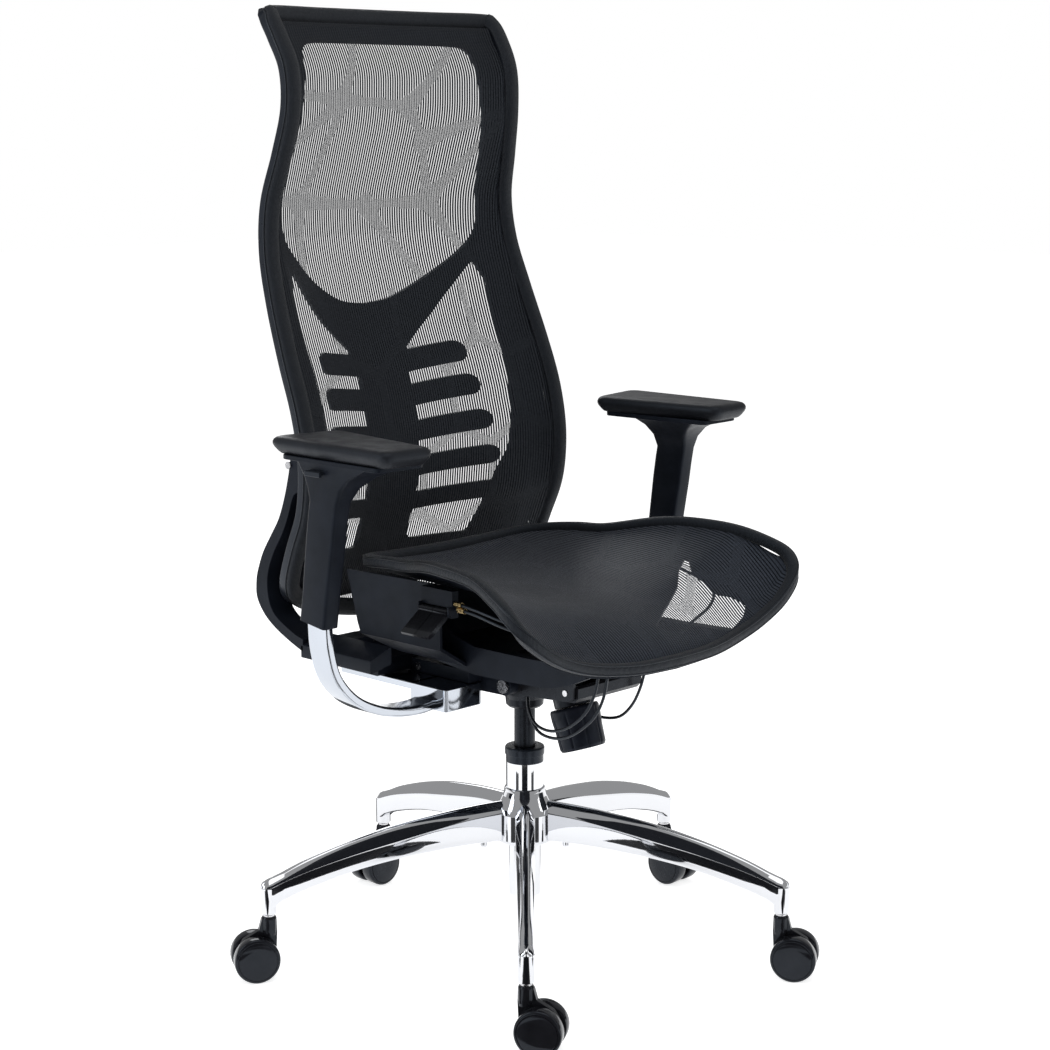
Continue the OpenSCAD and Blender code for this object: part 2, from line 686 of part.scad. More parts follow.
// Flare between the column and the flange
module sleeve_flare() {
  hull() {
    on_column() translate([0, 0, 150]) linear_extrude(height = 1)
      polygon(cut_rectangle(sleeve_w - 2, sleeve_top_d - 4, 5));
    translate([0, 0, pad_low - flange_t + 1]) linear_extrude(height = 1)
      polygon([[-335, 66], [-335, -60], [-263, -66], [-263, 30], [-300, 66]]);
  }
}

module arm_sleeve() {
  difference() {
    union() {
      on_column() hull() {
        linear_extrude(height = 1) polygon(cut_rectangle(sleeve_w, sleeve_foot_d, 5));
        translate([0, 0, 154]) linear_extrude(height = 1)
          polygon(cut_rectangle(sleeve_w, sleeve_top_d, 5));
      }
      sleeve_flare();
      translate([0, 0, pad_low - flange_t]) linear_extrude(height = flange_t)
        polygon(rounded([[-336, -82], [-262, -86], [-248, 80], [-336, 90]], 12, 4));
    }
    on_column() translate([-tongue_w / 2 - 0.5, -tongue_d / 2 - 0.5, -1])
      cube([tongue_w + 1, tongue_d + 1, 196]);
    on_column() translate([-8, -strap_slot / 2, -1]) cube([16, strap_slot, 36]);
    translate([-345, 10, 682.5]) cube([15, 32, 9]);
  }
}

module arm_sleeve_right() {
  color(black) arm_sleeve();
}

module arm_sleeve_left() {
  color(black) mirror([1, 0, 0]) arm_sleeve();
}

pad_corners = [[-341, -102], [-265, -108], [-237, 94], [-340, 115]];

module arm_pad() {
  translate([0, 0, pad_low]) linear_extrude(height = pad_t) polygon(rounded(pad_corners, 16, 5));
}

module arm_pad_right() {
  color([0.1, 0.1, 0.11]) arm_pad();
}

module arm_pad_left() {
  color([0.1, 0.1, 0.11]) mirror([1, 0, 0]) arm_pad();
}

// Pivot of the height trigger
trigger_x = -332.5;
trigger_z = 687;

module arm_trigger() {
  translate([-342, 12, trigger_z - 2]) cube([10, 28, 4]);
  translate([-345, 12, 682]) cube([3.2, 28, 7]);
  translate([trigger_x, 12, trigger_z]) rotate([-90, 0, 0]) cylinder(r = 2, h = 28);
}

module arm_trigger_right() {
  color(black) arm_trigger();
}

module arm_trigger_left() {
  color(black) mirror([1, 0, 0]) arm_trigger();
}

// ---- casters ----

// Direction in which each caster trails behind its stem, in the X-Y plane
trail_turn = [-60, -60, -90, 180, 150];
wheel_r = wheel_d / 2;
axle_r = 4;
gap_half = 5;

// Children are drawn with the stem on the Z axis, the wheels towards +X
module at_caster(k) {
  rotate([0, 0, arm_turn(k - 1)]) translate([stem_circle, 0, 0])
    rotate([0, 0, trail_turn[k - 1] - arm_turn(k - 1)]) children();
}

module across(r, h) {
  translate([caster_trail, -h / 2, wheel_r]) rotate([-90, 0, 0]) cylinder(r = r, h = h);
}

module caster_hood(k) {
  color(black) at_caster(k) difference() {
    union() {
      across(24, 2 * gap_half - 1);
      translate([0, 0, 58]) cylinder(r = 10, h = 25);
      translate([-10, -gap_half + 0.5, 40]) cube([24, 2 * gap_half - 1, 24]);
    }
    across(axle_r, 30);
    translate([0, 0, 62]) cylinder(r = stem_r, h = 30);
    for (s = [-1, 1]) translate([caster_trail, s * 16, wheel_r]) rotate([90, 0, 0])
      cylinder(r = wheel_r + 1.2, h = 20.6, center = true);
  }
}

module caster_pins(k) {
  color("silver") at_caster(k) {
    across(axle_r, 2 * gap_half + 2 * wheel_w - 5);
    translate([0, 0, 62]) cylinder(r = stem_r, h = 54);
    translate([0, 0, 83.2]) cylinder(r = 7.5, h = 3.2);
  }
}

// Half section of a wheel: [radius, distance outward from the gap]
wheel_section = [[axle_r + run, 0], [10, 0], [12, 3], [24, 3], [26, 0], [wheel_r - 1.5, 0],
  [wheel_r, 1.5], [wheel_r, wheel_w - 3.5], [wheel_r - 1, wheel_w - 1.5],
  [wheel_r - 3, wheel_w], [0, wheel_w], [0, wheel_w - 2], [axle_r + run, wheel_w - 2]];

module wheel(k, side) {
  color(black) at_caster(k) translate([caster_trail, side * gap_half, wheel_r])
    rotate([-90 * side, 0, 0]) rotate_extrude() polygon(wheel_section);
}

base_star();
gas_tube();
gas_tube_collar();
gas_rod();
gas_rod_clip();
gas_cylinder();
gas_valve();
mechanism_housing();
mechanism_pins();
spring_tube();
tilt_spring();
gas_lever();
tension_knob();
seat_rim();
seat_mesh();
seat_tray();
seat_pan();
seat_plate();
lever_box_right();
lever_box_left();
cable_ferrules();
cable_height();
cable_tilt();
cable_left();
height_paddle();
tilt_paddle();
left_paddle();
back_frame();
back_mesh();
back_skeleton();
back_support();
back_bolts();
arm_bracket_right();
arm_bracket_left();
arm_sleeve_right();
arm_sleeve_left();
arm_pad_right();
arm_pad_left();
arm_trigger_right();
arm_trigger_left();
caster_hood(1);  // caster_hood_1
caster_pins(1);  // caster_pins_1
wheel(1, -1);  // wheel_1_inner
wheel(1, 1);  // wheel_1_outer
caster_hood(2);  // caster_hood_2
caster_pins(2);  // caster_pins_2
wheel(2, -1);  // wheel_2_inner
wheel(2, 1);  // wheel_2_outer
caster_hood(3);  // caster_hood_3
caster_pins(3);  // caster_pins_3
wheel(3, -1);  // wheel_3_inner
wheel(3, 1);  // wheel_3_outer
caster_hood(4);  // caster_hood_4
caster_pins(4);  // caster_pins_4
wheel(4, -1);  // wheel_4_inner
wheel(4, 1);  // wheel_4_outer
caster_hood(5);  // caster_hood_5
caster_pins(5);  // caster_pins_5
wheel(5, -1);  // wheel_5_inner
wheel(5, 1);  // wheel_5_outer
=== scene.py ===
"""Swivel office chair: the visible pieces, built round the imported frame.

Shapes are in millimetres, in the frame's own axes; piece() turns them into metres.
"""

import math

import bmesh
import bpy
import numpy as np
from mathutils import Matrix, Vector


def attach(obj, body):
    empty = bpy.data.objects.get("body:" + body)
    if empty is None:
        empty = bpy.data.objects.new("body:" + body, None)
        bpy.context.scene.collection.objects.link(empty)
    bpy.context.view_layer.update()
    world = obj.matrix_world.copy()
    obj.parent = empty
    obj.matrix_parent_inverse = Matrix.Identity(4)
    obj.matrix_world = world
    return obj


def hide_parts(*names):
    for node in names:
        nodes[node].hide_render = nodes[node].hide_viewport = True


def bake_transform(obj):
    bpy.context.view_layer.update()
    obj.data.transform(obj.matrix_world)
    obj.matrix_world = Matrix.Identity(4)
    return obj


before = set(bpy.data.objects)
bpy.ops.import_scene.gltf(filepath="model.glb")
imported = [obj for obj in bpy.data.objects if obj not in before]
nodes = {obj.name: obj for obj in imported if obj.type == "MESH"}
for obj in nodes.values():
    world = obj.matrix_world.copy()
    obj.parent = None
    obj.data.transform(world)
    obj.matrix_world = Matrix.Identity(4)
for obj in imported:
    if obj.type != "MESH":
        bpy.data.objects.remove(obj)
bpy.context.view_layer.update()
scene = bpy.context.scene
MM = 0.001
# The sitter's right is at negative x; what both sides share is shaped there and mirrored
SIDES = (("right", -1), ("left", 1))

# ---- camera, stage and lights ----

camera = bpy.data.objects.new("camera", bpy.data.cameras.new("camera"))
scene.collection.objects.link(camera)
camera.data.lens = 78.86
camera.data.sensor_width = 36
camera.data.clip_end = 100
camera.location = (-2.142, -2.069, 1.1157)
camera.rotation_euler = (math.radians(79.84), 0, math.radians(-46))
scene.camera = camera
scene.view_settings.view_transform = "Standard"


def area_light(name, place, target, width, height, power, tint=(1, 1, 1)):
    lamp = bpy.data.lights.new(name, "AREA")
    lamp.shape, lamp.size, lamp.size_y = "RECTANGLE", width, height
    lamp.energy, lamp.color = power, tint
    o = bpy.data.objects.new(name, lamp)
    o.location = place
    o.rotation_euler = (Vector(target) - Vector(place)).to_track_quat("-Z", "Y").to_euler()
    scene.collection.objects.link(o)


area_light("top_light", (-0.6, -0.8, 3.4), (0, 0, 0.6), 2.6, 2.6, 26)
area_light("left_light", (-2.6, 1.2, 1.7), (0, 0, 0.8), 0.9, 2.4, 22, (0.9, 0.95, 1))
area_light("right_light", (1.8, -2.4, 1.6), (0, 0, 0.8), 1.0, 2.2, 12)
area_light("back_light", (1.6, 2.6, 2.2), (0, 0, 0.9), 1.6, 1.6, 22)

world = bpy.data.worlds.new("studio")
scene.world = world
world.use_nodes = True
world.node_tree.nodes["Background"].inputs["Color"].default_value = (1, 1, 1, 1)
# The backdrop is pure white to the camera and dimmer as a light
WORLD_LIGHT = 0.38
seen = world.node_tree.nodes.new("ShaderNodeLightPath")
strength = world.node_tree.nodes.new("ShaderNodeMath")
strength.operation = "MULTIPLY_ADD"
strength.inputs[1].default_value, strength.inputs[2].default_value = 1 - WORLD_LIGHT, WORLD_LIGHT
world.node_tree.links.new(seen.outputs["Is Camera Ray"], strength.inputs[0])
world.node_tree.links.new(strength.outputs[0], world.node_tree.nodes["Background"].inputs["Strength"])


# ---- materials ----

# Plastics and fabrics reflect a little cool
COOL_TINT = (0.72, 0.84, 1, 1)
COAT_ROUGH = 0.08


def material(name, colour, rough, metal=0.0, vary=0.25, vary_scale=60, rough_vary=0.08, rough_scale=90,
             bumps=(), coat=0.0, sheen=0.0, specular=0.5):
    """A procedural finish: colour and roughness vary with noise.

    Each bump is a pattern, its scale and its height in mm. A pattern is grain, noise or the axis of a band.
    """
    made = bpy.data.materials.new(name)
    made.use_nodes = True
    tree = made.node_tree
    shader = tree.nodes["Principled BSDF"]

    def node(kind, **values):
        n = tree.nodes.new(kind)
        for key, value in values.items():
            setattr(n, key, value)
        return n

    place = node("ShaderNodeTexCoord").outputs["Object"]

    def noise(scale, detail=4.0):
        n = node("ShaderNodeTexNoise")
        n.inputs["Scale"].default_value = scale
        n.inputs["Detail"].default_value = detail
        tree.links.new(place, n.inputs["Vector"])
        return n.outputs["Fac"]

    ramp = node("ShaderNodeValToRGB")
    ramp.color_ramp.elements[0].position, ramp.color_ramp.elements[1].position = 0.3, 0.7
    ramp.color_ramp.elements[0].color = (*[c * (1 - vary) for c in colour], 1)
    ramp.color_ramp.elements[1].color = (*[min(1, c * (1 + vary)) for c in colour], 1)
    tree.links.new(noise(vary_scale), ramp.inputs["Fac"])
    tree.links.new(ramp.outputs["Color"], shader.inputs["Base Color"])
    spread = node("ShaderNodeMapRange")
    spread.inputs["From Min"].default_value, spread.inputs["From Max"].default_value = 0.25, 0.75
    spread.inputs["To Min"].default_value = max(0.0, rough - rough_vary)
    spread.inputs["To Max"].default_value = min(1.0, rough + rough_vary)
    tree.links.new(noise(rough_scale), spread.inputs["Value"])
    tree.links.new(spread.outputs["Result"], shader.inputs["Roughness"])
    shader.inputs["Metallic"].default_value = metal
    shader.inputs["Coat Weight"].default_value = coat
    shader.inputs["Coat Roughness"].default_value = COAT_ROUGH
    shader.inputs["Sheen Weight"].default_value = sheen
    shader.inputs["Specular IOR Level"].default_value = specular
    if not metal:
        shader.inputs["Specular Tint"].default_value = COOL_TINT
    last = None
    for pattern, scale, height in bumps:
        if pattern == "grain":
            t = node("ShaderNodeTexVoronoi", feature="SMOOTH_F1")
            t.inputs["Scale"].default_value = scale
            tree.links.new(place, t.inputs["Vector"])
            out = t.outputs["Distance"]
        elif pattern == "noise":
            out = noise(scale, 6.0)
        else:
            t = node("ShaderNodeTexWave", wave_type="BANDS", bands_direction=pattern)
            t.inputs["Scale"].default_value = scale
            tree.links.new(place, t.inputs["Vector"])
            out = t.outputs["Fac"]
        bump = node("ShaderNodeBump")
        bump.inputs["Strength"].default_value = 1.0
        bump.inputs["Distance"].default_value = height * MM
        tree.links.new(out, bump.inputs["Height"])
        if last:
            tree.links.new(last, bump.inputs["Normal"])
        last = bump.outputs["Normal"]
    if last:
        tree.links.new(last, shader.inputs["Normal"])
    return made


# A band of scale s repeats about every 1 / (3.18 s) metres, so 160 is a 2 mm weave
CHROME = material("chrome", (0.7, 0.71, 0.735), 0.04, 1.0, 0.02, 9, 0.02, 14, [("noise", 7, 0.12)])
# The arm straps are the base's chrome, their colour darkened as painted shade to dim what they reflect
STRAP_CHROME_PAINTED_SHADE = material("strap_chrome_painted_shade", (0.52, 0.55, 0.6), 0.09, 1.0, 0.03, 9, 0.02, 14, [("noise", 7, 0.1)])
TUBE = material("tube_chrome", (0.76, 0.77, 0.79), 0.03, 1.0, 0.02, 9, 0.02, 20)
STEEL = material("zinc", (0.62, 0.62, 0.64), 0.24, 1.0, 0.12, 240, 0.08, 300, [("noise", 900, 0.05)])
BLACK_STEEL = material("black_steel", (0.009, 0.009, 0.011), 0.3, 0.0, 0.3, 120, 0.07, 200,
                       [("noise", 1400, 0.05)], specular=0.24)
PLASTIC = material("black_plastic", (0.007, 0.0085, 0.013), 0.4, 0.0, 0.22, 35, 0.07, 60,
                   [("noise", 1800, 0.06), ("grain", 900, 0.03)], specular=0.15)
SMOOTH = material("smooth_plastic", (0.012, 0.014, 0.019), 0.3, 0.0, 0.2, 30, 0.05, 50,
                  [("noise", 1500, 0.03)], specular=0.28)
GLOSS = material("gloss_plastic", (0.009, 0.009, 0.011), 0.12, 0.0, 0.25, 40, 0.05, 60,
                 [("noise", 25, 0.05)], coat=0.08, specular=0.25)
KNOB_PLASTIC = material("knob_plastic", (0.007, 0.008, 0.013), 0.4, 0.0, 0.25, 60, 0.08, 90,
                        [("noise", 1200, 0.08)], specular=0.2)
PAD = material("pad_foam", (0.011, 0.0115, 0.014), 0.44, 0.0, 0.2, 30, 0.08, 45,
               [("grain", 620, 0.16), ("noise", 1500, 0.05)], specular=0.24)
THREAD = material("mesh_thread", (0.0065, 0.007, 0.009), 0.62, 0.0, 0.35, 300, 0.1, 400,
                  [("Z", 160, 0.25)], sheen=0.06, specular=0.35)
# The seat is knitted like the back; its lighter colour is painted sheen, added to the shader's own sheen
SEAT_THREAD_PAINTED_SHEEN = material("seat_thread_painted_sheen", (0.016, 0.02, 0.03), 0.52, 0.0, 0.35, 300, 0.1, 400,
                       [("Y", 160, 0.25)], sheen=0.2, specular=0.4)
COVER = material("cover_weave", (0.007, 0.0075, 0.0095), 0.62, 0.0, 0.3, 500, 0.1, 300,
                 [("X", 260, 0.22), ("Z", 260, 0.22)], sheen=0.08, specular=0.3)
RIM = material("rim_weave", (0.007, 0.008, 0.0105), 0.55, 0.0, 0.3, 500, 0.1, 300,
               [("X", 260, 0.2), ("Y", 260, 0.2), ("noise", 700, 0.06)], sheen=0.1, specular=0.32)
JACKET = material("cable_jacket", (0.008, 0.008, 0.009), 0.38, 0.0, 0.2, 200, 0.08, 250,
                  [("noise", 600, 0.04)])
BRASS = material("brass", (0.68, 0.5, 0.24), 0.24, 1.0, 0.15, 300, 0.08, 300, [("noise", 900, 0.04)])
FLOOR = material("floor", (0.9, 0.9, 0.905), 0.7, 0.0, 0.006, 3, 0.04, 5, [("noise", 40, 0.02)], specular=0.1)
# The glow lets the floor run into the white backdrop
FLOOR_GLOW = 0.74
FLOOR.node_tree.nodes["Principled BSDF"].inputs["Emission Color"].default_value = (1, 1, 1, 1)
FLOOR.node_tree.nodes["Principled BSDF"].inputs["Emission Strength"].default_value = FLOOR_GLOW


# ---- mesh tools; all lengths in mm ----

def curve(points, n):
    """The smooth open curve of part.scad through points, with n steps between each two."""
    p, out = np.asarray(points, float), []
    last = len(p) - 1
    for i in range(last):
        a, b, c, d = p[max(i - 1, 0)], p[i], p[i + 1], p[min(i + 2, last)]
        for t in np.arange(n) / n:
            out.append(0.5 * (2 * b + (c - a) * t + (2 * a - 5 * b + 4 * c - d) * t * t
                              + (3 * b - a - 3 * c + d) * t ** 3))
    return np.array(out + [p[last]])


def closed_loop(half, n):
    """half runs from the middle at the bottom or rear to the middle at the top or front."""
    one = curve(half, n)
    return np.vstack([one, one[-2:0:-1] * [-1, 1, 1]])


def fillet(points, radii, steps=4, closed=True):
    """A flat outline with each corner rounded by its radius."""
    p, out = np.asarray(points, float), []
    radii = [radii] * len(p) if np.isscalar(radii) else radii
    for i, r in enumerate(radii):
        if r <= 0 or not closed and i in (0, len(p) - 1):
            out.append(p[i])
            continue
        a, b = p[i - 1] - p[i], p[(i + 1) % len(p)] - p[i]
        a, b = a / np.linalg.norm(a), b / np.linalg.norm(b)
        half = math.acos(max(-1, min(1, a @ b))) / 2
        if half > math.pi / 2 - 0.02:
            out.append(p[i])
            continue
        reach = r / math.tan(half)
        start, end, middle = p[i] + a * reach, p[i] + b * reach, p[i]
        for t in np.linspace(0, 1, steps + 1):
            out.append((1 - t) ** 2 * start + 2 * t * (1 - t) * middle + t * t * end)
    return np.array(out)


def rings(grid, closed_path=False, caps=True, closed_ring=True):
    """Vertices and faces of a skin over a grid of rings."""
    n, m = len(grid), len(grid[0])
    faces = []
    for i in range(n if closed_path else n - 1):
        for j in range(m if closed_ring else m - 1):
            a, b = i * m + j, i * m + (j + 1) % m
            k = (i + 1) % n * m
            faces.append((a, b, k + (j + 1) % m, k + j))
    if caps and not closed_path and closed_ring:
        faces += [tuple(range(m - 1, -1, -1)), tuple((n - 1) * m + j for j in range(m))]
    return np.concatenate([np.asarray(g, float) for g in grid]), faces


def sweep(path, outline, ref, closed=False, scale=None):
    """outline's first number goes sideways and its second along ref, as in part.scad."""
    path, ref, grid = np.asarray(path, float), np.asarray(ref, float), []
    for i, p in enumerate(path):
        a = path[i - 1] if closed or i else path[0]
        b = path[(i + 1) % len(path)] if closed or i < len(path) - 1 else path[-1]
        t = (b - a) / np.linalg.norm(b - a)
        s = np.cross(t, ref)
        s /= np.linalg.norm(s)
        d = np.cross(t, s)
        k = 1 if scale is None else scale[i]
        grid.append([p + k * (q[0] * s + q[1] * d) for q in outline])
    return rings(grid, closed)


def lathe(profile, segments=64, wave=None):
    """A skin turned about Z from (radius, height) points; wave(angle, radius, height) gives a new radius."""
    grid = []
    for angle in np.linspace(0, 2 * math.pi, segments, endpoint=False):
        ring = []
        for r, z in profile:
            k = r if wave is None else wave(angle, r, z)
            ring.append((k * math.cos(angle), k * math.sin(angle), z))
        grid.append(ring)
    return rings(grid, True, False, False)


def prism(outline, low, high, axis):
    """A flat outline pushed from low to high along axis; it holds the two other coordinates in order."""
    order = {"x": (1, 2, 0), "y": (0, 2, 1), "z": (0, 1, 2)}[axis]
    grid = []
    for level in (low, high):
        ring = np.zeros((len(outline), 3))
        ring[:, order[0]], ring[:, order[1]] = np.asarray(outline, float).T
        ring[:, order[2]] = level
        grid.append(ring)
    return rings(grid)


def box(low, high):
    """A block between two opposite corners."""
    (x0, y0, z0), (x1, y1, z1) = low, high
    return prism([(x0, y0), (x1, y0), (x1, y1), (x0, y1)], z0, z1, "z")


def joined(*parts):
    """Several (vertices, faces) parts as one."""
    vertices, faces, start = [], [], 0
    for v, f in parts:
        vertices.append(np.asarray(v, float))
        faces += [tuple(k + start for k in face) for face in f]
        start += len(v)
    return np.concatenate(vertices), faces


def moved(part, matrix):
    v, f = part
    m = np.array(matrix, float)
    return np.asarray(v, float) @ m[:3, :3].T + m[:3, 3], f


def sided(part, sign):
    """A part that is shaped for the sitter's right, on the side that sign gives."""
    v, f = part
    if sign < 0:
        return part
    return np.asarray(v, float) * [-1, 1, 1], [face[::-1] for face in f]


def break_edges(o, width, segments, least_angle):
    """Rounds the edges of a piece that are sharper than least_angle, in degrees."""
    m = o.modifiers.new("edges", "BEVEL")
    m.width, m.segments, m.limit_method = width * MM, segments, "ANGLE"
    m.angle_limit, m.harden_normals = math.radians(least_angle), True


def piece(name, part, finish, body, replaces=(), bevel=0.0, segments=3, sharp=38, tidy=True):
    """Makes one visible piece from (vertices, faces) in mm, and puts it on its body."""
    vertices, faces = part
    mesh = bpy.data.meshes.new(name)
    mesh.from_pydata((np.asarray(vertices) * MM).tolist(), [], faces)
    if tidy:
        bm = bmesh.new()
        bm.from_mesh(mesh)
        bmesh.ops.remove_doubles(bm, verts=bm.verts, dist=1e-6)
        bmesh.ops.recalc_face_normals(bm, faces=bm.faces)
        bm.to_mesh(mesh)
        bm.free()
    mesh.shade_smooth()
    mesh.materials.append(finish)
    o = bpy.data.objects.new(name, mesh)
    scene.collection.objects.link(o)
    if bevel:
        break_edges(o, bevel, segments, 28)
    elif sharp:
        mesh.set_sharp_from_angle(angle=math.radians(sharp))
    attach(o, body)
    if replaces:
        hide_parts(*replaces)
    return o


def refinish(node, finish, bevel=0.0):
    """Gives a carried-over CAD node its finish, smooth shading and broken edges."""
    o = nodes[node]
    o.data.materials.clear()
    o.data.materials.append(finish)
    o.data.shade_smooth()
    if bevel:
        break_edges(o, bevel, 2, 30)
    else:
        o.data.set_sharp_from_angle(angle=math.radians(32))


def stage_quad(name, corners, finish):
    """A four-cornered sheet of the studio, in metres."""
    mesh = bpy.data.meshes.new(name)
    mesh.from_pydata(corners, [], [(0, 1, 2, 3)])
    mesh.materials.append(finish)
    o = bpy.data.objects.new(name, mesh)
    scene.collection.objects.link(o)
    return o


FLOOR_REACH = 14
stage_quad("floor", [(x * FLOOR_REACH, y * FLOOR_REACH, 0) for x, y in ((-1, -1), (1, -1), (1, 1), (-1, 1))],
           FLOOR)

# The cards, in metres and degrees: directions are counted from the chair's front towards its left
CARD_LIFT = 0.002
# Name, direction, half spread, nearest and farthest distance
LOW_CARDS = [("card_middle", -46, 17, 0.42, 2.4), ("card_left", -92, 9, 0.45, 1.6),
             ("card_right", 2, 8, 0.45, 1.6), ("card_rear", 150, 30, 0.5, 1.8)]
# Name, direction, half spread, distance, lowest and highest height
WALL_CARDS = [("card_front", -46, 27, 2.6, 0.05, 1.9), ("card_side", 52, 16, 2.6, 0.1, 2.2),
              ("card_far_left", -128, 10, 2.6, 0.3, 1.1)]
OVER_CARD = [(1.25, 0.75, 2.4), (0.75, 1.25, 2.4), (0.95, 1.45, 2.4), (1.45, 0.95, 2.4)]


def dark_card(name, corners):
    """A black card that only shows in reflections, as round a chrome object in a studio."""
    o = stage_quad(name, corners, BLACK_STEEL)
    o.visible_camera = o.visible_diffuse = o.visible_shadow = False


def away(turn, distance, height):
    """A point at a distance from the chair's middle, in a direction."""
    return distance * math.sin(turn), -distance * math.cos(turn), height


for name, turn, spread, near, far in LOW_CARDS:
    a, b = math.radians(turn - spread), math.radians(turn + spread)
    dark_card(name, [away(a, near, CARD_LIFT), away(a, far, CARD_LIFT), away(b, far, CARD_LIFT),
                     away(b, near, CARD_LIFT)])
for name, turn, spread, out, low, high in WALL_CARDS:
    a, b = math.radians(turn - spread), math.radians(turn + spread)
    dark_card(name, [away(a, out, low), away(b, out, low), away(b, out, high), away(a, out, high)])
dark_card("card_over", OVER_CARD)

# ---- control cables ----

# The middle line of each cable, from its lever box to the mechanism
ROUTES = {
    "cable_height": [
        (-201, -76, 512), (-201, -110, 509), (-196, -150, 500), (-180, -185, 490), (-150, -201, 478),
        (-115, -204, 468), (-85, -204, 458), (-66, -203, 446), (-58, -201, 432), (-57, -198, 416),
        (-58, -193, 392), (-60, -182, 369), (-62, -165, 351), (-64, -142, 335), (-64, -117, 327),
        (-62, -92, 327), (-59, -76, 333), (-55, -63, 344), (-49, -53, 355), (-44, -48, 366)],
    "cable_tilt": [
        (-202, -76, 519), (-201, -110, 515), (-196, -150, 507), (-180, -186, 497), (-150, -203, 485),
        (-116, -205, 474), (-88, -202, 463), (-72, -197, 449), (-67, -193, 432), (-66, -190, 414),
        (-66, -184, 394), (-68, -174, 374), (-70, -159, 358), (-71, -139, 345), (-71, -116, 338),
        (-69, -95, 338), (-66, -80, 343), (-61, -68, 352), (-56, -60, 361), (-52, -56, 368)],
    "cable_left": [
        (201, -64, 512), (201, -100, 508), (196, -140, 500), (180, -174, 490), (150, -192, 478),
        (112, -196, 465), (84, -194, 450), (66, -184, 437), (57, -174, 423), (53, -167, 407),
        (50, -160, 380), (50, -146, 355), (50, -125, 336), (48, -98, 330), (44, -76, 335),
        (40, -59, 348), (36, -49, 367)]}
CABLE_R = 2.0
# No cable runs along this direction, so its section never flips
CABLE_REF = (0.2, 0.35, 1)


def circle(radius, count, middle=(0, 0)):
    """A round outline of count points."""
    turns = np.arange(count) * math.pi / (count / 2)
    return [(middle[0] + radius * math.cos(a), middle[1] + radius * math.sin(a)) for a in turns]


for node, route in ROUTES.items():
    path = curve(route, 5)
    cable = piece(node + "_jacket", sweep(path, circle(CABLE_R, 12), CABLE_REF), JACKET, "seat",
                  [node])
    # The blend carries the cable instead of one body
    cable.parent = None
    side = math.copysign(1, route[0][0])
    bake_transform(cable)

# ---- base ----

STEM_CIRCLE, FIRST_ARM = 352, -45.7
# How far each caster is turned from its arm's direction, in degrees
TRAIL_TURN = [-60, -60, -90, 180, 150]


def arm_turn(k):
    """The direction of base arm k, counted from 0, as an angle from the x axis."""
    return math.radians(FIRST_ARM + 72 * k - 90)


# Distance out, lowest height, shoulder height, crest height, half width
ARM_STATIONS = [(24, 157, 197, 209, 13), (40, 156, 196, 208.5, 13), (80, 155, 192, 205, 12.8),
                (120, 152, 185, 200, 12.4), (180, 145, 172, 190, 11.8), (240, 134, 159, 175, 11),
                (300, 117, 143, 155, 10), (335, 104, 131, 140, 9.6)]
ARM_NOSE = [(345, 97, 127, 136, 10), (352, 93, 125, 133.5, 10.2), (357, 92, 123, 131, 9.2),
            (360, 92, 121, 129, 7), (361.6, 93, 119, 126.5, 4.2), (362.2, 96, 116, 123, 1.6)]


def arm_section(s):
    """Flat sides with a rounded foot, and two slopes that meet in a rounded crest."""
    out, low, side, top, w = s
    slope = (top - 1.6 - side) / 0.64
    half = [(0, low + 0.4), (w - 3.2, low + 0.2), (w - 1.2, low + 0.9), (w - 0.3, low + 2.2), (w, low + 4.5),
            (w, side - 3), (w - 0.25, side - 1.2), (w * 0.93, side + 0.07 * slope * 0.6),
            (w * 0.66, side + 0.34 * slope), (w * 0.44, top - 2.4), (w * 0.34, top - 1.1),
            (w * 0.2, top - 0.3), (0, top)]
    return [(out, y, z) for y, z in half] + [(out, -y, z) for y, z in half[-2:0:-1]]


arm_skin = rings([arm_section(s) for s in np.vstack([curve(ARM_STATIONS, 6), curve(ARM_NOSE, 3)])])
boss = lathe(fillet([(0, 87), (10.5, 87), (10.5, 122), (0, 122)], [0, 1.2, 0, 0]), 48)
BOLT_CIRCLE = 58
under_bolt = lathe(fillet([(0, 147.5), (4.2, 147.5), (5, 150), (5, 157), (0, 157)], [0, 1, 1, 0, 0]), 24)
for k in range(5):
    spoke = joined(arm_skin, moved(boss, Matrix.Translation((STEM_CIRCLE, 0, 0))),
                   moved(under_bolt, Matrix.Translation((BOLT_CIRCLE, 0, 0))))
    piece(f"base_arm_{k + 1}", moved(spoke, Matrix.Rotation(arm_turn(k), 4, "Z")), CHROME, "root",
          sharp=55)
HUB = [(25.05, 152.5), (35.5, 152.5), (38.2, 155), (39, 158), (39.2, 193), (37.5, 200), (33, 208),
       (29.5, 215), (27.8, 222), (27.2, 226), (25.05, 228)]
piece("base_hub", lathe(np.vstack([fillet(HUB, 1.2, 3), [HUB[0]]]), 96), CHROME, "root",
      ["base_star"], sharp=50)

TUBE_OUTLINE = [(5.2, 76.2), (20.5, 76.2), (22, 78), (22, 150), (25, 156), (25, 279), (23, 279)]
piece("gas_tube_skin", lathe(fillet(TUBE_OUTLINE, [0, 1, 1, 2, 2, 0.8, 0], 3, False), 96), TUBE, "root",
      ["gas_tube"], sharp=50)
COLLAR = [(14.2, 281.5), (14.2, 262), (25.2, 262), (25.2, 272), (26.4, 272), (26.6, 281), (25.4, 283),
          (16.5, 283)]
collar_outline = fillet(COLLAR, [0.4, 0, 0, 0.3, 0.6, 1, 1, 0.6], 3)
piece("gas_collar", lathe(np.vstack([collar_outline, [COLLAR[0]]]), 72), SMOOTH, "root",
      ["gas_tube_collar"])
refinish("gas_rod", STEEL)
refinish("gas_rod_clip", STEEL)
CYLINDER = [(5.4, 145), (13, 145), (14, 146.5), (14, 382), (13, 384), (4.2, 384)]
cylinder_skin = lathe(fillet(CYLINDER, [0, 0.8, 0.8, 0.8, 0.8, 0], 3, False), 72)
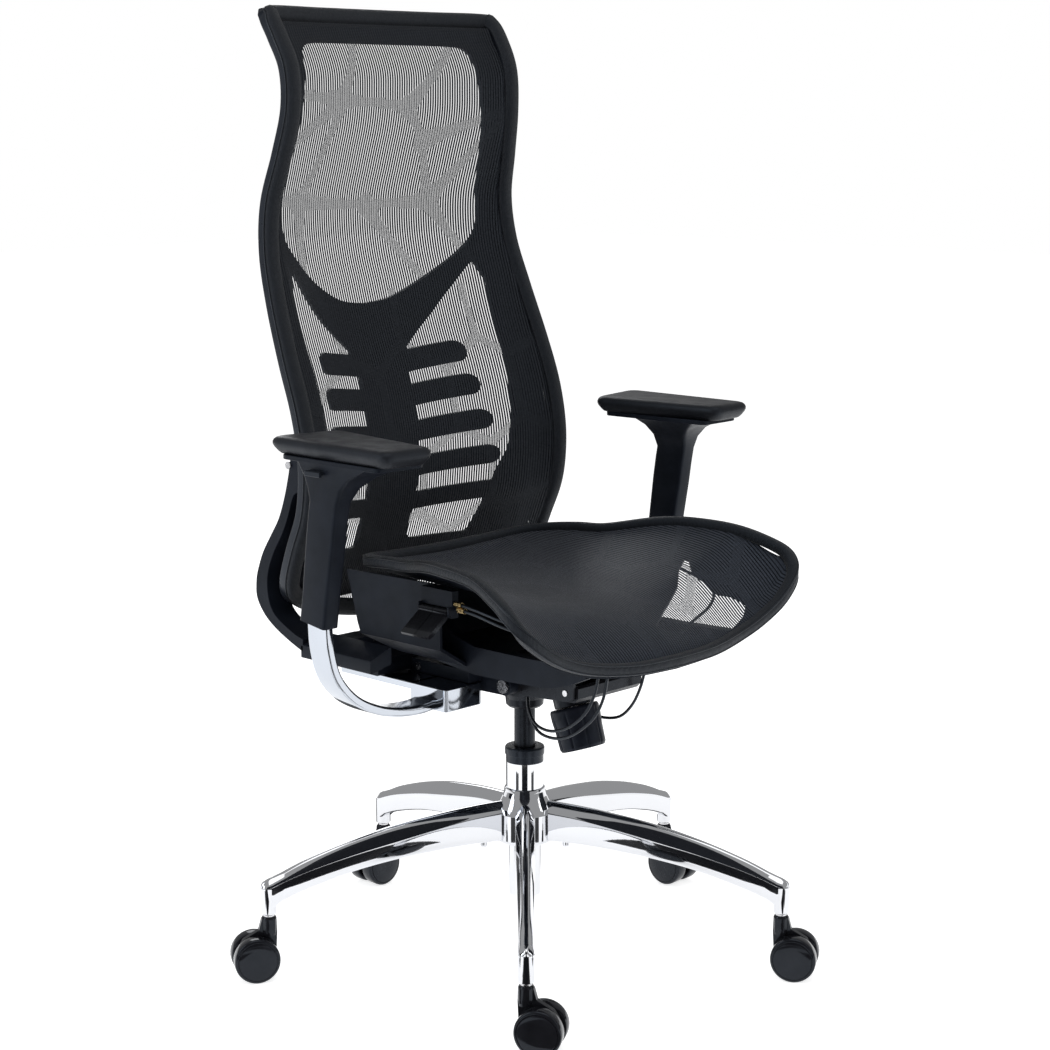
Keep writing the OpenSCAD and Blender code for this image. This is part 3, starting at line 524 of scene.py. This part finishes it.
piece("gas_cylinder_skin", cylinder_skin, BLACK_STEEL, "lift", ["gas_cylinder"])
refinish("gas_valve", STEEL)

# ---- casters, shaped round their stem; the wheels trail towards positive x ----

# How far the axle trails, its height, and how far each wheel's inner face lies from the middle
AXLE_OUT, AXLE_UP, WHEEL_GAP = 19, 30, 5
# Distance from the axle, and from the wheel's inner face
WHEEL = [(4.2, 0.2), (10, 0), (12, 3), (23, 3), (25.5, 0.4), (27.5, 0.4), (29.3, 1.2), (30, 3), (30, 15.5),
         (29.6, 17.4), (28.6, 18.6), (27.0, 19.2), (26.2, 19.3), (25.8, 18.7), (25.3, 18.7), (24.9, 19.6),
         (24, 20), (10, 20), (0.0, 19.9)]
wheel_skin = lathe(WHEEL, 72)
hood_web = prism(fillet([(-9, 41), (-10, 62), (-9.4, 82), (9.6, 82), (14, 66), (26, 59.5), (34, 55), (41, 46),
                         (43, 34), (38, 20), (24, 9), (12, 9), (2, 16), (-6, 26)], 3, 3), -4.4, 4.4, "y")
hood_boss = lathe(fillet([(5.7, 60), (5.7, 83), (8.6, 83.4), (10, 81), (10.3, 66), (9.4, 58)],
                         [0, 0.5, 1, 1.5, 1, 0], 4, False), 48)
SHOULDER = [(-9.6, 4), (8.5, 4), (6, 9.2), (-6.5, 9.2)]
hood_shoulders = joined(*[prism(fillet([(x, s * y) for x, y in SHOULDER][::s], 2.2, 3), 61.5, 80.5, "z")
                          for s in (-1, 1)])
STEM = [(0, 63), (5.5, 63), (5.5, 83.2), (7.5, 83.2), (7.6, 86.4), (5.6, 86.6), (5.5, 115), (0, 116)]
stem = lathe(fillet(STEM, [0, 0, 0, 0.5, 0.5, 0, 0.6, 0], 3, False), 40)
axle = moved(lathe([(0, -22), (4, -22), (4, 22), (0, 22)], 32),
             Matrix.Translation((AXLE_OUT, 0, AXLE_UP)) @ Matrix.Rotation(math.radians(90), 4, "X"))
for k in range(1, 6):
    turn = arm_turn(k - 1)
    place = (Matrix.Translation((STEM_CIRCLE * math.cos(turn), STEM_CIRCLE * math.sin(turn), 0))
             @ Matrix.Rotation(math.radians(TRAIL_TURN[k - 1]), 4, "Z"))
    piece(f"caster_fork_{k}", moved(joined(hood_web, hood_boss, hood_shoulders), place), GLOSS, f"caster_{k}",
          [f"caster_hood_{k}"], bevel=0.7, segments=2)
    piece(f"caster_stem_{k}", moved(joined(stem, axle), place), STEEL, f"caster_{k}",
          [f"caster_pins_{k}"])
    for name, side in (("inner", -1), ("outer", 1)):
        at = (place @ Matrix.Translation((AXLE_OUT, side * WHEEL_GAP, AXLE_UP))
              @ Matrix.Rotation(math.radians(-90 * side), 4, "X"))
        piece(f"caster_wheel_{k}_{name}", moved(wheel_skin, at), GLOSS, f"wheel_{k}_{name}",
              [f"wheel_{k}_{name}"], sharp=42)

# ---- back ----

# The tables give a value at each height: the frame's front side, the bow of the mesh and of the plastic
# sheet behind it, and the frame's inner half width
FRONT_Y = [(446, 229), (458, 227), (472, 221), (488, 210), (512, 196), (535, 185), (566, 172), (596, 160),
           (626, 155), (655, 153), (690, 155), (723, 163), (742, 168), (779, 181), (817, 197), (854, 211),
           (891, 223), (929, 236), (967, 243), (1006, 243), (1044, 233), (1069, 226), (1094, 219),
           (1119, 215), (1144, 215), (1169, 217), (1194, 228), (1213, 240), (1232, 250), (1250, 266)]
MESH_BOW = [(446, 6), (475, 16), (650, 28), (950, 24), (1250, 10)]
SHEET_BOW = [(455, 6), (475, 34), (540, 76), (850, 76), (930, 50), (1010, 30), (1250, 8)]
FRAME_INNER = [(458, 60), (466, 118), (478, 162), (490, 190), (504, 206), (520, 214), (560, 221), (740, 222),
               (800, 221), (872, 216), (938, 209), (1000, 202), (1062, 194), (1120, 188), (1172, 188),
               (1240, 186)]
# The frame bar's middle line, from the middle at the bottom to the middle at the top
FRAME_HALF = [(0, 240, 446), (70, 240, 448), (125, 237, 457), (180, 231, 472), (214, 220, 489),
              (230, 207, 512), (234, 188, 556), (234, 169, 600), (234, 162, 645), (234, 164, 690),
              (234, 176, 742), (233, 198, 800), (228, 226, 872), (221, 247, 938), (214, 251, 1000),
              (206, 236, 1062), (200, 224, 1120), (200, 226, 1172), (202, 245, 1212), (200, 262, 1236),
              (186, 272, 1241), (100, 280, 1241), (0, 283, 1241)]


def table(rows):
    """A smooth function through (place, value) rows."""
    fine = curve(rows, 8)
    order = np.argsort(fine[:, 0])
    return lambda z: np.interp(z, fine[order, 0], fine[order, 1])


front_y, mesh_bow, sheet_bow, frame_inner = (table(r) for r in (FRONT_Y, MESH_BOW, SHEET_BOW, FRAME_INNER))
# How far the mesh and the sheet lie behind the frame's front, and the half width of the sheet's bow
MESH_BACK, SHEET_BACK, SHEET_BOW_HALF = 4, 20, 190


def mesh_y(x, z):
    """The back mesh, pushed rearward in its middle."""
    u = np.clip(np.abs(x) / frame_inner(z), 0, 1.05)
    return front_y(z) + MESH_BACK + mesh_bow(z) * (1 - u * u)


def sheet_y(x, z):
    """The front of the plastic sheet behind the mesh."""
    return front_y(z) + SHEET_BACK + sheet_bow(z) * (1 - np.minimum(np.abs(x) / SHEET_BOW_HALF, 1) ** 2)


def segment_distance(p, a, b):
    """Distance from points to the straight line between a and b."""
    a, b = np.asarray(a, float), np.asarray(b, float)
    d = b - a
    t = np.clip(((p - a) @ d) / (d @ d), 0, 1)
    return np.linalg.norm(p - a - t[..., None] * d, axis=-1)


def polygon_distance(p, outline):
    """Signed distance to a flat outline, negative inside."""
    outline = np.asarray(outline, float)
    best = np.full(p.shape[:-1], np.inf)
    inside = np.zeros(p.shape[:-1], bool)
    for a, b in zip(outline, np.roll(outline, -1, 0)):
        best = np.minimum(best, segment_distance(p, a, b))
        crosses = (a[1] > p[..., 1]) != (b[1] > p[..., 1])
        at = a[0] + (p[..., 1] - a[1]) / (b[1] - a[1] + 1e-12) * (b[0] - a[0])
        inside ^= crosses & (p[..., 0] < at)
    return np.where(inside, -best, best)


def voronoi_band(p, seeds, width):
    """True on the bands between the cells round seeds; the bands widen where three cells meet."""
    near = np.sort(np.linalg.norm(p[..., None, :] - seeds, axis=-1), axis=-1)[..., :3]
    gap = near[..., 1] - near[..., 0]
    corner = near[..., 2] - near[..., 0]
    return (gap < width) | (gap + 0.35 * corner < width * 1.55)


def branch_band(p, branches, width):
    """True on straight bands between points; the bands widen towards their first point."""
    found = np.zeros(p.shape[:-1], bool)
    for a, b in branches:
        a, b = np.array(a, float), np.array(b, float)
        t = np.clip(((p - a) @ (b - a)) / ((b - a) @ (b - a)), 0, 1)
        away_from = np.linalg.norm(p - a - t[..., None] * (b - a), axis=-1)
        found |= away_from < width * (0.5 + 0.75 * (1 - t) ** 4)
    return found


def threads(name, columns, rows, at, inside, band, finish, body, replaces):
    """Open knitted mesh: one wide strand for each repeat, and three narrow ones where band is true.

    columns holds the strand edges, six to a repeat, and at(u, v) gives points. inside and band are tested
    at the middle of each cell.
    """
    u = (columns[:-1] + columns[1:]) / 2
    v = (rows[:-1] + rows[1:]) / 2
    mid = np.stack(np.meshgrid(u, v, indexing="ij"), -1)
    keep, fine = inside(mid), band(mid)
    strand = np.arange(len(u))[:, None] % len(STRAND_EDGES)
    solid = keep & np.where(fine, strand % 2 == 0, strand < WIDE_STRAND)
    i, j = np.nonzero(solid)
    m = len(rows)
    corner = np.stack([i * m + j, (i + 1) * m + j, (i + 1) * m + j + 1, i * m + j + 1], 1)
    used, index = np.unique(corner, return_inverse=True)
    points = at(columns[used // m], rows[used % m])
    return piece(name, (points, index.reshape(-1, 4).tolist()), finish, body, replaces, sharp=0,
                 tidy=False)


PITCH = 4.3
# Edges of the strands in one repeat, as shares of the pitch; the wide strand takes the first three gaps
STRAND_EDGES = [0, 0.22, 0.3, 0.7, 0.79, 0.92]
WIDE_STRAND = 3
# Bands of narrow strands in the head window, each from where it starts to where it ends
HEAD_BANDS = [
    ((-106, 1132), (-70, 1206)), ((-106, 1132), (-200, 1140)), ((-106, 1132), (-36, 1129)),
    ((17, 1123), (-36, 1129)), ((17, 1123), (102, 1202)), ((17, 1123), (52, 1078)),
    ((52, 1078), (200, 1122)), ((82, 996), (52, 1078)), ((82, 996), (200, 1124)),
    ((82, 996), (150, 910)), ((82, 996), (-32, 993)), ((-160, 1001), (-32, 993)),
    ((-160, 1001), (-215, 1003)), ((-160, 1001), (-134, 1056)), ((-106, 1132), (-134, 1056)),
    ((-106, 1132), (-200, 1070)), ((-160, 1001), (-163, 880)), ((-32, 993), (60, 890))]
# Below the head window the bands run between cells round these points
BACK_CELLS = np.array([
    (-190, 820), (-75, 850), (60, 840), (185, 850), (-130, 720), (0, 730), (120, 735), (225, 740),
    (-205, 640), (-70, 620), (60, 615), (180, 630), (-130, 515), (0, 500), (125, 510), (215, 540)], float)
HEAD_LOW = 880
HEAD_BAND_WIDTH, BACK_BAND_WIDTH, SEAT_BAND_WIDTH = 13, 12, 13


# The next three functions tell threads() where the back mesh lies, where it ends and where its bands are
def back_point(x, z):
    return np.stack([x, mesh_y(x, z), z], -1)


def back_inside(p):
    return np.abs(p[..., 0]) < frame_inner(p[..., 1]) + 1.5


def back_band(p):
    return np.where(p[..., 1] > HEAD_LOW, branch_band(p, HEAD_BANDS, HEAD_BAND_WIDTH),
                    voronoi_band(p, BACK_CELLS, BACK_BAND_WIDTH))


back_columns = np.add.outer(np.arange(-53, 54), STRAND_EDGES).ravel() * PITCH
back_rows = np.linspace(460, 1232, 258)
back_weave = threads("back_weave", back_columns, back_rows, back_point, back_inside, back_band, THREAD,
                     "back", ["back_mesh"])

# Rounded bar with a flat rear; the first number is inward, the second forward
frame_loop = closed_loop(FRAME_HALF, 7)
FRAME_SECTION = fillet([(-9, -11), (9, -11), (9, 11), (-9, 11)], [3.2, 3.2, 4, 4], 4)
piece("back_frame_bar", sweep(frame_loop, FRAME_SECTION, (0, 1, 0), True), SMOOTH, "back",
      ["back_frame"], sharp=0)
# Woven cover that wraps the bar's front
BORDER = [(-8.2, 3.6), (-9.7, 4.2), (-10.1, 6.4), (-9.5, 9.4), (-7.2, 11.6), (-3.4, 12.5), (1, 12.7),
          (5.4, 12.2), (8.6, 10.2), (10.4, 7.4), (12.6, 6.6), (13.0, 5.4), (8, 4.4), (0, 5)]
piece("back_border", sweep(frame_loop, BORDER, (0, 1, 0), True), COVER, "back", sharp=50)
PIPING_R = 1.1
back_piping = circle(PIPING_R, 8, (-10.2, 3.2))
piece("back_piping", sweep(frame_loop, back_piping, (0, 1, 0), True), JACKET, "back", sharp=0)

# Plastic sheet behind the mesh: one head window, and on each side a window that five ribs cross
HEAD_HALF = [(0, 1206), (80, 1206), (130, 1205), (148, 1200), (156, 1186), (162, 1144), (171, 1080),
             (179, 1010), (181, 975), (176, 952), (160, 932), (128, 906), (90, 882), (45, 862), (0, 856)]
SIDE_WINDOW = [(46, 522), (137, 526), (146, 565), (154, 613), (168, 648), (174, 700), (178, 760), (180, 880),
               (167, 912), (137, 877), (101, 838), (44, 787)]
# Height, reach and half thickness of each rib; they start inside the spine and rise outward
RIBS = [(581, 168, 13), (631, 157, 13.5), (681, 149, 14), (730, 141, 14.5), (776, 134, 14.5)]
RIB_START, RIB_DROP, RIB_LIFT = 20, 5, 9
OUTER_HALF = [(0, 462), (100, 463), (168, 478), (198, 492), (218, 519), (226, 560), (226, 700), (226, 800),
              (222, 872), (216, 938), (210, 1000), (202, 1062), (196, 1120), (196, 1180), (198, 1216),
              (194, 1233), (0, 1234)]
SHEET_STEP, SHEET_THICK = 4.0, 6.0


def both_halves(half):
    """A closed flat outline from the half at positive x, which starts and ends in the middle."""
    half = np.asarray(half, float)
    return np.vstack([half, half[-2:0:-1] * [-1, 1]])


head_window = both_halves(curve(HEAD_HALF, 5))
side_window = fillet(SIDE_WINDOW, [12, 10, 30, 30, 30, 40, 40, 10, 6, 40, 40, 2], 5)
outer_edge = both_halves(OUTER_HALF)


def skeleton_distance(p):
    """Negative on the plastic of the skeleton."""
    q = np.stack([np.abs(p[..., 0]), p[..., 1]], -1)
    window = polygon_distance(q, side_window)
    for z, tip, half in RIBS:
        rib = segment_distance(q, (RIB_START, z - RIB_DROP), (tip - half, z + RIB_LIFT)) - half
        window = np.maximum(window, -rib)
    window = np.minimum(window, polygon_distance(p, head_window))
    return np.maximum(polygon_distance(p, outer_edge), -window)


def sheet_part(distance, low, high, surface, thick):
    """A sheet of even thickness whose outline is where distance is zero.

    It is cut from a grid of squares between low and high, and the grid's rim is pulled onto the outline.
    surface(p, depth) gives the sheet's points.
    """
    step = SHEET_STEP
    xs = np.arange(low[0], high[0] + step, step)
    zs = np.arange(low[1], high[1] + step, step)
    grid = np.stack(np.meshgrid(xs, zs, indexing="ij"), -1)
    d = distance(grid)
    centre = (d[:-1, :-1] + d[1:, :-1] + d[1:, 1:] + d[:-1, 1:]) / 4
    i, j = np.nonzero(centre < 0)
    m = len(zs)
    corner = np.stack([i * m + j, (i + 1) * m + j, (i + 1) * m + j + 1, i * m + j + 1], 1)
    used, index = np.unique(corner, return_inverse=True)
    faces = index.reshape(-1, 4)
    flat = grid.reshape(-1, 2)[used].copy()
    directed = np.concatenate([faces[:, [k, (k + 1) % 4]] for k in range(4)])
    edges, uses = np.unique(np.sort(directed, axis=1), axis=0, return_counts=True)
    rim_edges = edges[uses == 1]
    rim = np.unique(rim_edges)
    across, along = np.array([0.5, 0]), np.array([0, 0.5])
    for _ in range(3):
        p = flat[rim]
        slope = np.stack([distance(p + across) - distance(p - across),
                          distance(p + along) - distance(p - along)], -1)
        slope /= np.maximum(np.linalg.norm(slope, axis=-1, keepdims=True), 1e-6)
        flat[rim] = p - np.clip(distance(p), -step, step)[:, None] * slope
    count = len(flat)
    quads = faces.tolist() + [[a + count for a in f[::-1]] for f in faces.tolist()]
    on_rim = set(map(tuple, rim_edges))
    for a, b in directed.tolist():
        if (min(a, b), max(a, b)) in on_rim:
            quads.append([b, a, a + count, b + count])
    return np.vstack([surface(flat, 0), surface(flat, thick)]), quads


def skeleton_surface(p, depth):
    return np.stack([p[:, 0], sheet_y(p[:, 0], p[:, 1]) + depth, p[:, 1]], -1)


skeleton = sheet_part(skeleton_distance, (-236, 458), (236, 1238), skeleton_surface, SHEET_THICK)
piece("back_skeleton_sheet", skeleton, PLASTIC, "back", ["back_skeleton"], sharp=50)

# Support under and behind the back: a J-shaped arm on each side, ears on the recline pivot, and a bar across.
# The outlines of the J, the bar and the ear are seen from the side, and that of the limb from the front.
J_INSIDE = [(165, 634), (181, 630), (195, 597), (207, 574), (223, 550), (234, 527), (238, 509), (237, 491),
            (232, 476), (222, 464), (204, 454), (183, 445), (168, 441)]
J_OUTSIDE = [(168, 424), (194, 434), (220, 446), (239, 458), (252, 471), (260, 485), (261, 500), (258, 518),
             (246, 546), (229, 571), (212, 596), (199, 628), (190, 660), (184, 688), (174, 702)]
BAR_OUTLINE = [(108, 388), (196, 388), (208, 396), (208, 420), (198, 428), (134, 428), (132, 416), (112, 408),
               (108, 400)]
EAR_OUTLINE = [(-40, 373), (40, 371), (108, 380), (112, 388), (112, 406), (60, 402), (-40, 397)]
EAR_SIDES, BAR_HALF = (-80, -66), 165
SUPPORT_BEVEL = 1.4
j_outline = np.vstack([[(165, 700)], curve(J_INSIDE, 4), curve(J_OUTSIDE, 4)])
j_low = j_outline[j_outline[:, 1] < 592]
limb = fillet([(-242, 415.5), (-206, 424), (-206, 447), (-242, 433.5)], 2, 3)
bar = fillet(BAR_OUTLINE, [2, 6, 6, 6, 6, 4, 4, 4, 2], 3)
ear = fillet(EAR_OUTLINE, [2, 8, 6, 4, 2, 20, 2], 3)
pivot_boss = moved(lathe([(5.4, -80), (12.4, -80), (12.5, -79.5), (12.5, -66), (5.4, -66)], 48),
                   Matrix.Translation((0, -40, 385)) @ Matrix.Rotation(math.pi / 2, 4, "Y"))
support_arm = joined(prism(j_outline, -242, -228, "x"), prism(j_low, -229, -206, "x"),
                     prism(limb, 37, 172, "y"), box((-207, 136, 416), (-147, 172, 436)),
                     prism(ear, *EAR_SIDES, "x"), box((-104, 0, 386), (-66, 116, 403)), pivot_boss)
for side, sign in SIDES:
    piece(f"support_arm_{side}", sided(support_arm, sign), PLASTIC, "back",
          ["back_support"] if sign < 0 else (), bevel=SUPPORT_BEVEL)
piece("support_bar", prism(bar, -BAR_HALF, BAR_HALF, "x"), PLASTIC, "back",
      bevel=SUPPORT_BEVEL)
refinish("back_bolts", STEEL, 0.5)

# ---- seat ----

# The rim's middle line, from the middle at the rear to the middle at the front
RIM_HALF = [(0, 160, 530), (85, 158, 532), (140, 146, 537), (168, 115, 542), (178, 70, 547), (186, 24, 550),
            (216, -38, 562), (232, -85, 566), (246, -155, 563), (261, -208, 548), (265, -232, 534),
            (255, -247, 512), (225, -252, 487), (185, -252, 467), (135, -254, 453), (70, -262, 445),
            (0, -266, 444)]
# Height of the mesh along its middle, from front to rear
SEAT_MIDDLE = [(-266, 446), (-250, 466), (-225, 482), (-180, 498), (-120, 508), (-40, 512), (60, 513),
               (120, 518), (160, 530)]
# The seat starts to fall to the front edge here
FALL_START = -150
rim_fine = curve(RIM_HALF, 8)
side_part = rim_fine[rim_fine[:, 1] > -233][::-1]
side_part = side_part[np.argsort(side_part[:, 1])]
front_part = rim_fine[(rim_fine[:, 1] < -232) & (rim_fine[:, 2] < 535)]
front_part = front_part[np.argsort(front_part[:, 0])]
seat_middle = table(SEAT_MIDDLE)


def rim_width(y):
    """Half the seat's width at y."""
    return np.interp(y, side_part[:, 1], side_part[:, 0])


def rim_height(y):
    return np.interp(y, side_part[:, 1], side_part[:, 2])


def front_edge(x):
    """Where the front of the rim lies at x, and how high."""
    return (np.interp(np.abs(x), front_part[:, 0], front_part[:, 1]),
            np.interp(np.abs(x), front_part[:, 0], front_part[:, 2]))


def from_middle(x, y):
    """0 in the middle of the seat and 1 at the rim."""
    return np.clip(np.abs(x) / np.maximum(rim_width(y), 1), 0, 1)


def seat_base(x, y):
    """The saddle without its front edge."""
    u = from_middle(x, y)
    middle = seat_middle(y)
    return middle + (rim_height(y) - middle) * u * u


def seat_z(x, y):
    """The height of the seat mesh."""
    y_front, z_front = front_edge(x)
    gap = z_front - seat_base(x, y_front)
    share = np.clip((FALL_START - y) / (FALL_START - y_front), 0, 1)
    return seat_base(x, y) + gap * share * share * (3 - 2 * share)


SEAT_CELLS = np.array([
    (-170, 120), (-60, 110), (60, 120), (165, 110), (-120, 20), (0, 15), (110, 25), (-190, -50), (-70, -65),
    (45, -70), (160, -60), (-225, -130), (-130, -140), (-20, -150), (90, -150), (200, -150), (-180, -215),
    (-80, -225), (30, -230), (140, -225), (235, -215)], float)


# The same for the seat mesh
def seat_point(x, y):
    return np.stack([x, y, seat_z(x, y)], -1)


def seat_inside(p):
    x, y = p[..., 0], p[..., 1]
    y_front, _ = front_edge(x)
    return (np.abs(x) < rim_width(y) - 3) & (y > y_front + 2) & (y < 157)


def seat_band(p):
    return voronoi_band(p, SEAT_CELLS, SEAT_BAND_WIDTH)


seat_columns = np.add.outer(np.arange(-62, 63), STRAND_EDGES).ravel() * PITCH
seat_rows = np.linspace(-266, 160, 150)
seat_weave = threads("seat_weave", seat_columns, seat_rows, seat_point, seat_inside, seat_band, SEAT_THREAD_PAINTED_SHEEN,
                     "seat", ["seat_mesh"])

rim_loop = closed_loop(RIM_HALF, 7)
RIM_R = 8
# A round bar, slightly squared
RIM_SECTION = [(RIM_R * math.copysign(abs(math.cos(a)) ** 0.8, math.cos(a)),
                RIM_R * math.copysign(abs(math.sin(a)) ** 0.75, math.sin(a)))
               for a in np.arange(20) * math.pi / 10]
piece("seat_rim_cover", sweep(rim_loop, RIM_SECTION, (0, 0, 1), True), RIM, "seat", ["seat_rim"],
      sharp=0)
for name, middle in (("upper", (-7, -5.6)), ("lower", (-6.6, 5.8))):
    seat_piping = circle(PIPING_R, 8, middle)
    piece(f"seat_piping_{name}", sweep(rim_loop, seat_piping, (0, 0, 1), True), JACKET, "seat",
          sharp=0)

# Moulded tray under the mesh, with a crescent window at its front left
CRESCENT = [(19, -211), (64, -187), (122, -161), (154, -136), (187, -122), (158, -155), (160, -194),
            (177, -204), (191, -221), (174, -230), (136, -238), (72, -239), (48, -228)]
TRAY_REAR, TRAY_DEPTH, TRAY_THICK = 150, 12, 4.0
tray_window = fillet(CRESCENT, [2, 20, 20, 12, 1, 6, 8, 6, 4, 6, 12, 12, 12], 4)


def tray_distance(p):
    """Negative on the tray, which ends 2 mm inside the rim's middle line and 3 mm behind its front."""
    x, y = np.abs(p[..., 0]), p[..., 1]
    edge = np.maximum(x - rim_width(y) + 2, front_edge(x)[0] + 3 - y)
    return np.maximum(np.maximum(edge, y - TRAY_REAR), -polygon_distance(p, tray_window))


def tray_surface(p, depth):
    """The tray hangs under the mesh and closes up to it at the rim."""
    x, y = p[:, 0], p[:, 1]
    u = from_middle(x, y)
    return np.stack([x, y, seat_z(x, y) - TRAY_DEPTH + 4 * u + 8 * u ** 8 - depth], -1)


seat_tray = sheet_part(tray_distance, (-270, -264), (270, 156), tray_surface, TRAY_THICK)
piece("seat_tray_skin", seat_tray, PLASTIC, "seat", ["seat_tray"], sharp=50)
refinish("seat_pan", PLASTIC, 2.0)
refinish("seat_plate", BLACK_STEEL, 0.8)
refinish("lever_box_right", PLASTIC, 0.8)
refinish("lever_box_left", PLASTIC, 0.8)
for node in ("height_paddle", "tilt_paddle", "left_paddle"):
    refinish(node, GLOSS, 0.8)
refinish("cable_ferrules", BRASS)

# ---- mechanism ----

refinish("mechanism_housing", BLACK_STEEL, 1.2)
refinish("mechanism_pins", STEEL)
refinish("spring_tube", BLACK_STEEL)
refinish("tilt_spring", STEEL)
refinish("gas_lever", STEEL)

KNOB = [(5.1, -28), (28.5, -28), (30.5, -24), (31.2, 0), (32.5, 14), (32.5, 25), (31, 28), (5.1, 28)]
KNOB_GROOVES, GROOVE_DEPTH = 9, 1.3
along_knob = Matrix.Translation((0, -98, 326)) @ Matrix.Rotation(math.radians(-18.5), 4, "X")
knob_profile = fillet(KNOB, [0, 2, 3, 10, 3, 2, 1.5, 0], 4, False)


def knob_wave(angle, r, z):
    """Narrow grooves along the knob's grip."""
    groove = max(0.0, math.cos(angle * KNOB_GROOVES)) ** 14
    return r - GROOVE_DEPTH * groove * (1 if r > 29 and -26 < z < 22 else 0)


piece("knob_grip", moved(lathe(knob_profile, 216, knob_wave), along_knob), KNOB_PLASTIC, "tension_knob",
      ["tension_knob"], sharp=50)

# ---- arms ----

# The strap's middle line seen from the front, and its section across the strap and along the chair
STRAP_HALF = [(-146, 362), (-170, 360), (-205, 363), (-243, 373), (-281, 393), (-309, 424), (-321, 460),
              (-324, 495), (-324, 522)]
STRAP_Y = 38
STRAP_SECTION = [(-6, -18), (6, -18), (6, 18), (-6, 18)]
STRAP_BLOCK = [(-150, -4), (-84, -4), (-84, 64), (-150, 64)]
STRAP_PLATE = [(-150, 56), (-84, 56), (-84, 200), (-150, 200)]
PLATE_LOW, PLATE_TOP = 376.5, 385.5
strap_path = [(x, STRAP_Y, z) for x, z in curve(STRAP_HALF, 8)]
on_column = Matrix.Translation((-324, 40, 495)) @ Matrix.Rotation(math.radians(8.5), 4, "X")
strap = joined(
    sweep(strap_path, fillet(STRAP_SECTION, 3, 4), (0, 1, 0)),
    prism(fillet(STRAP_BLOCK, 5, 4), 356, PLATE_TOP, "z"),
    prism(fillet(STRAP_PLATE, 4, 4), PLATE_LOW, PLATE_TOP, "z"),
    moved(box((-4.5, -15, 5), (4.5, 15, 140)), on_column))

# Corners of the column seen from above: outer front, inner front, inner rear, outer rear
SLEEVE_ROUND = [5, 5, 4, 4]
FOOT = [(-12.5, -23), (12.5, -23), (12.5, 23), (-12.5, 23)]
NECK = [(-12.5, -25), (12.5, -25), (12.5, 25), (-12.5, 25)]
# Height, then the corners there, where the column flares out under the pad
FLARE = [(651, (-336.6, -9), (-311, -10), (-311, 41), (-336.6, 41)),
         (668, (-336.6, -16), (-303, -18), (-306, 44), (-336.6, 45)),
         (682, (-336.4, -30), (-289, -33), (-295, 50), (-336.4, 52)),
         (692, (-336.2, -50), (-271, -54), (-282, 58), (-336.2, 60)),
         (697.5, (-336, -62), (-263, -66), (-272, 62), (-336, 64))]


def sleeve_ring(z, outline):
    ring = fillet(outline, SLEEVE_ROUND, 4)
    return np.column_stack([ring, np.full(len(ring), float(z))])


leaning = [moved((sleeve_ring(z, outline), []), on_column)[0]
           for z, outline in ((0, FOOT), (40, FOOT), (110, NECK), (140, NECK))]
sleeve = rings(leaning + [sleeve_ring(z, corners) for z, *corners in FLARE])
flange = prism(fillet([(-336, -84), (-262, -88), (-248, 84), (-336, 96)], 12, 5), 696.5, 702.5, "z")
PAD_CORNERS = np.array([(-341, -102), (-265, -108), (-237, 94), (-340, 115)], float)
# Height, and how far the pad's side lies inside its corners there
PAD_LEVELS = [(702.5, 9), (703.2, 7.6), (706, 5), (711, 1.6), (714.5, 0.2), (717.5, 0.2), (720.5, 1.4),
              (722.6, 3.6), (723.8, 7), (724.3, 12), (724.5, 20), (724.2, 30)]


def inset(outline, amount):
    """The outline with each side moved inward."""
    p = np.asarray(outline, float)
    out = []
    for i in range(len(p)):
        a, b = p[i] - p[i - 1], p[(i + 1) % len(p)] - p[i]
        a, b = a / np.linalg.norm(a), b / np.linalg.norm(b)
        na, nb = np.array([-a[1], a[0]]), np.array([-b[1], b[0]])
        out.append(p[i] + (na + nb) * amount / (1 + na @ nb))
    return np.array(out)


pad_rings = []
for z, amount in PAD_LEVELS:
    ring = fillet(inset(PAD_CORNERS, amount), max(16 - amount * 0.4, 4), 7)
    pad_rings.append(np.column_stack([ring, np.full(len(ring), z)]))
pad = rings(pad_rings)
# A button on the outer side, and its lever
trigger = joined(box((-344.5, 12, 682.3), (-340, 40, 688.5)), box((-342, 12.5, 684.7), (-331, 39.5, 688.8)))
for side, sign in SIDES:
    arm = f"arm_{side}"
    piece(f"arm_strap_{side}", sided(strap, sign), STRAP_CHROME_PAINTED_SHADE, "back", [f"arm_bracket_{side}"],
          bevel=1.2)
    piece(f"arm_column_{side}", sided(sleeve, sign), PLASTIC, arm, [f"arm_sleeve_{side}"],
          sharp=40)
    piece(f"arm_flange_{side}", sided(flange, sign), PLASTIC, arm, bevel=1)
    cushion = piece(f"arm_cushion_{side}", sided(pad, sign), PAD, arm, [f"arm_pad_{side}"],
                    sharp=0)
    piece(f"arm_button_{side}", sided(trigger, sign), SMOOTH, f"trigger_{side}",
          [f"arm_trigger_{side}"], bevel=0.8)
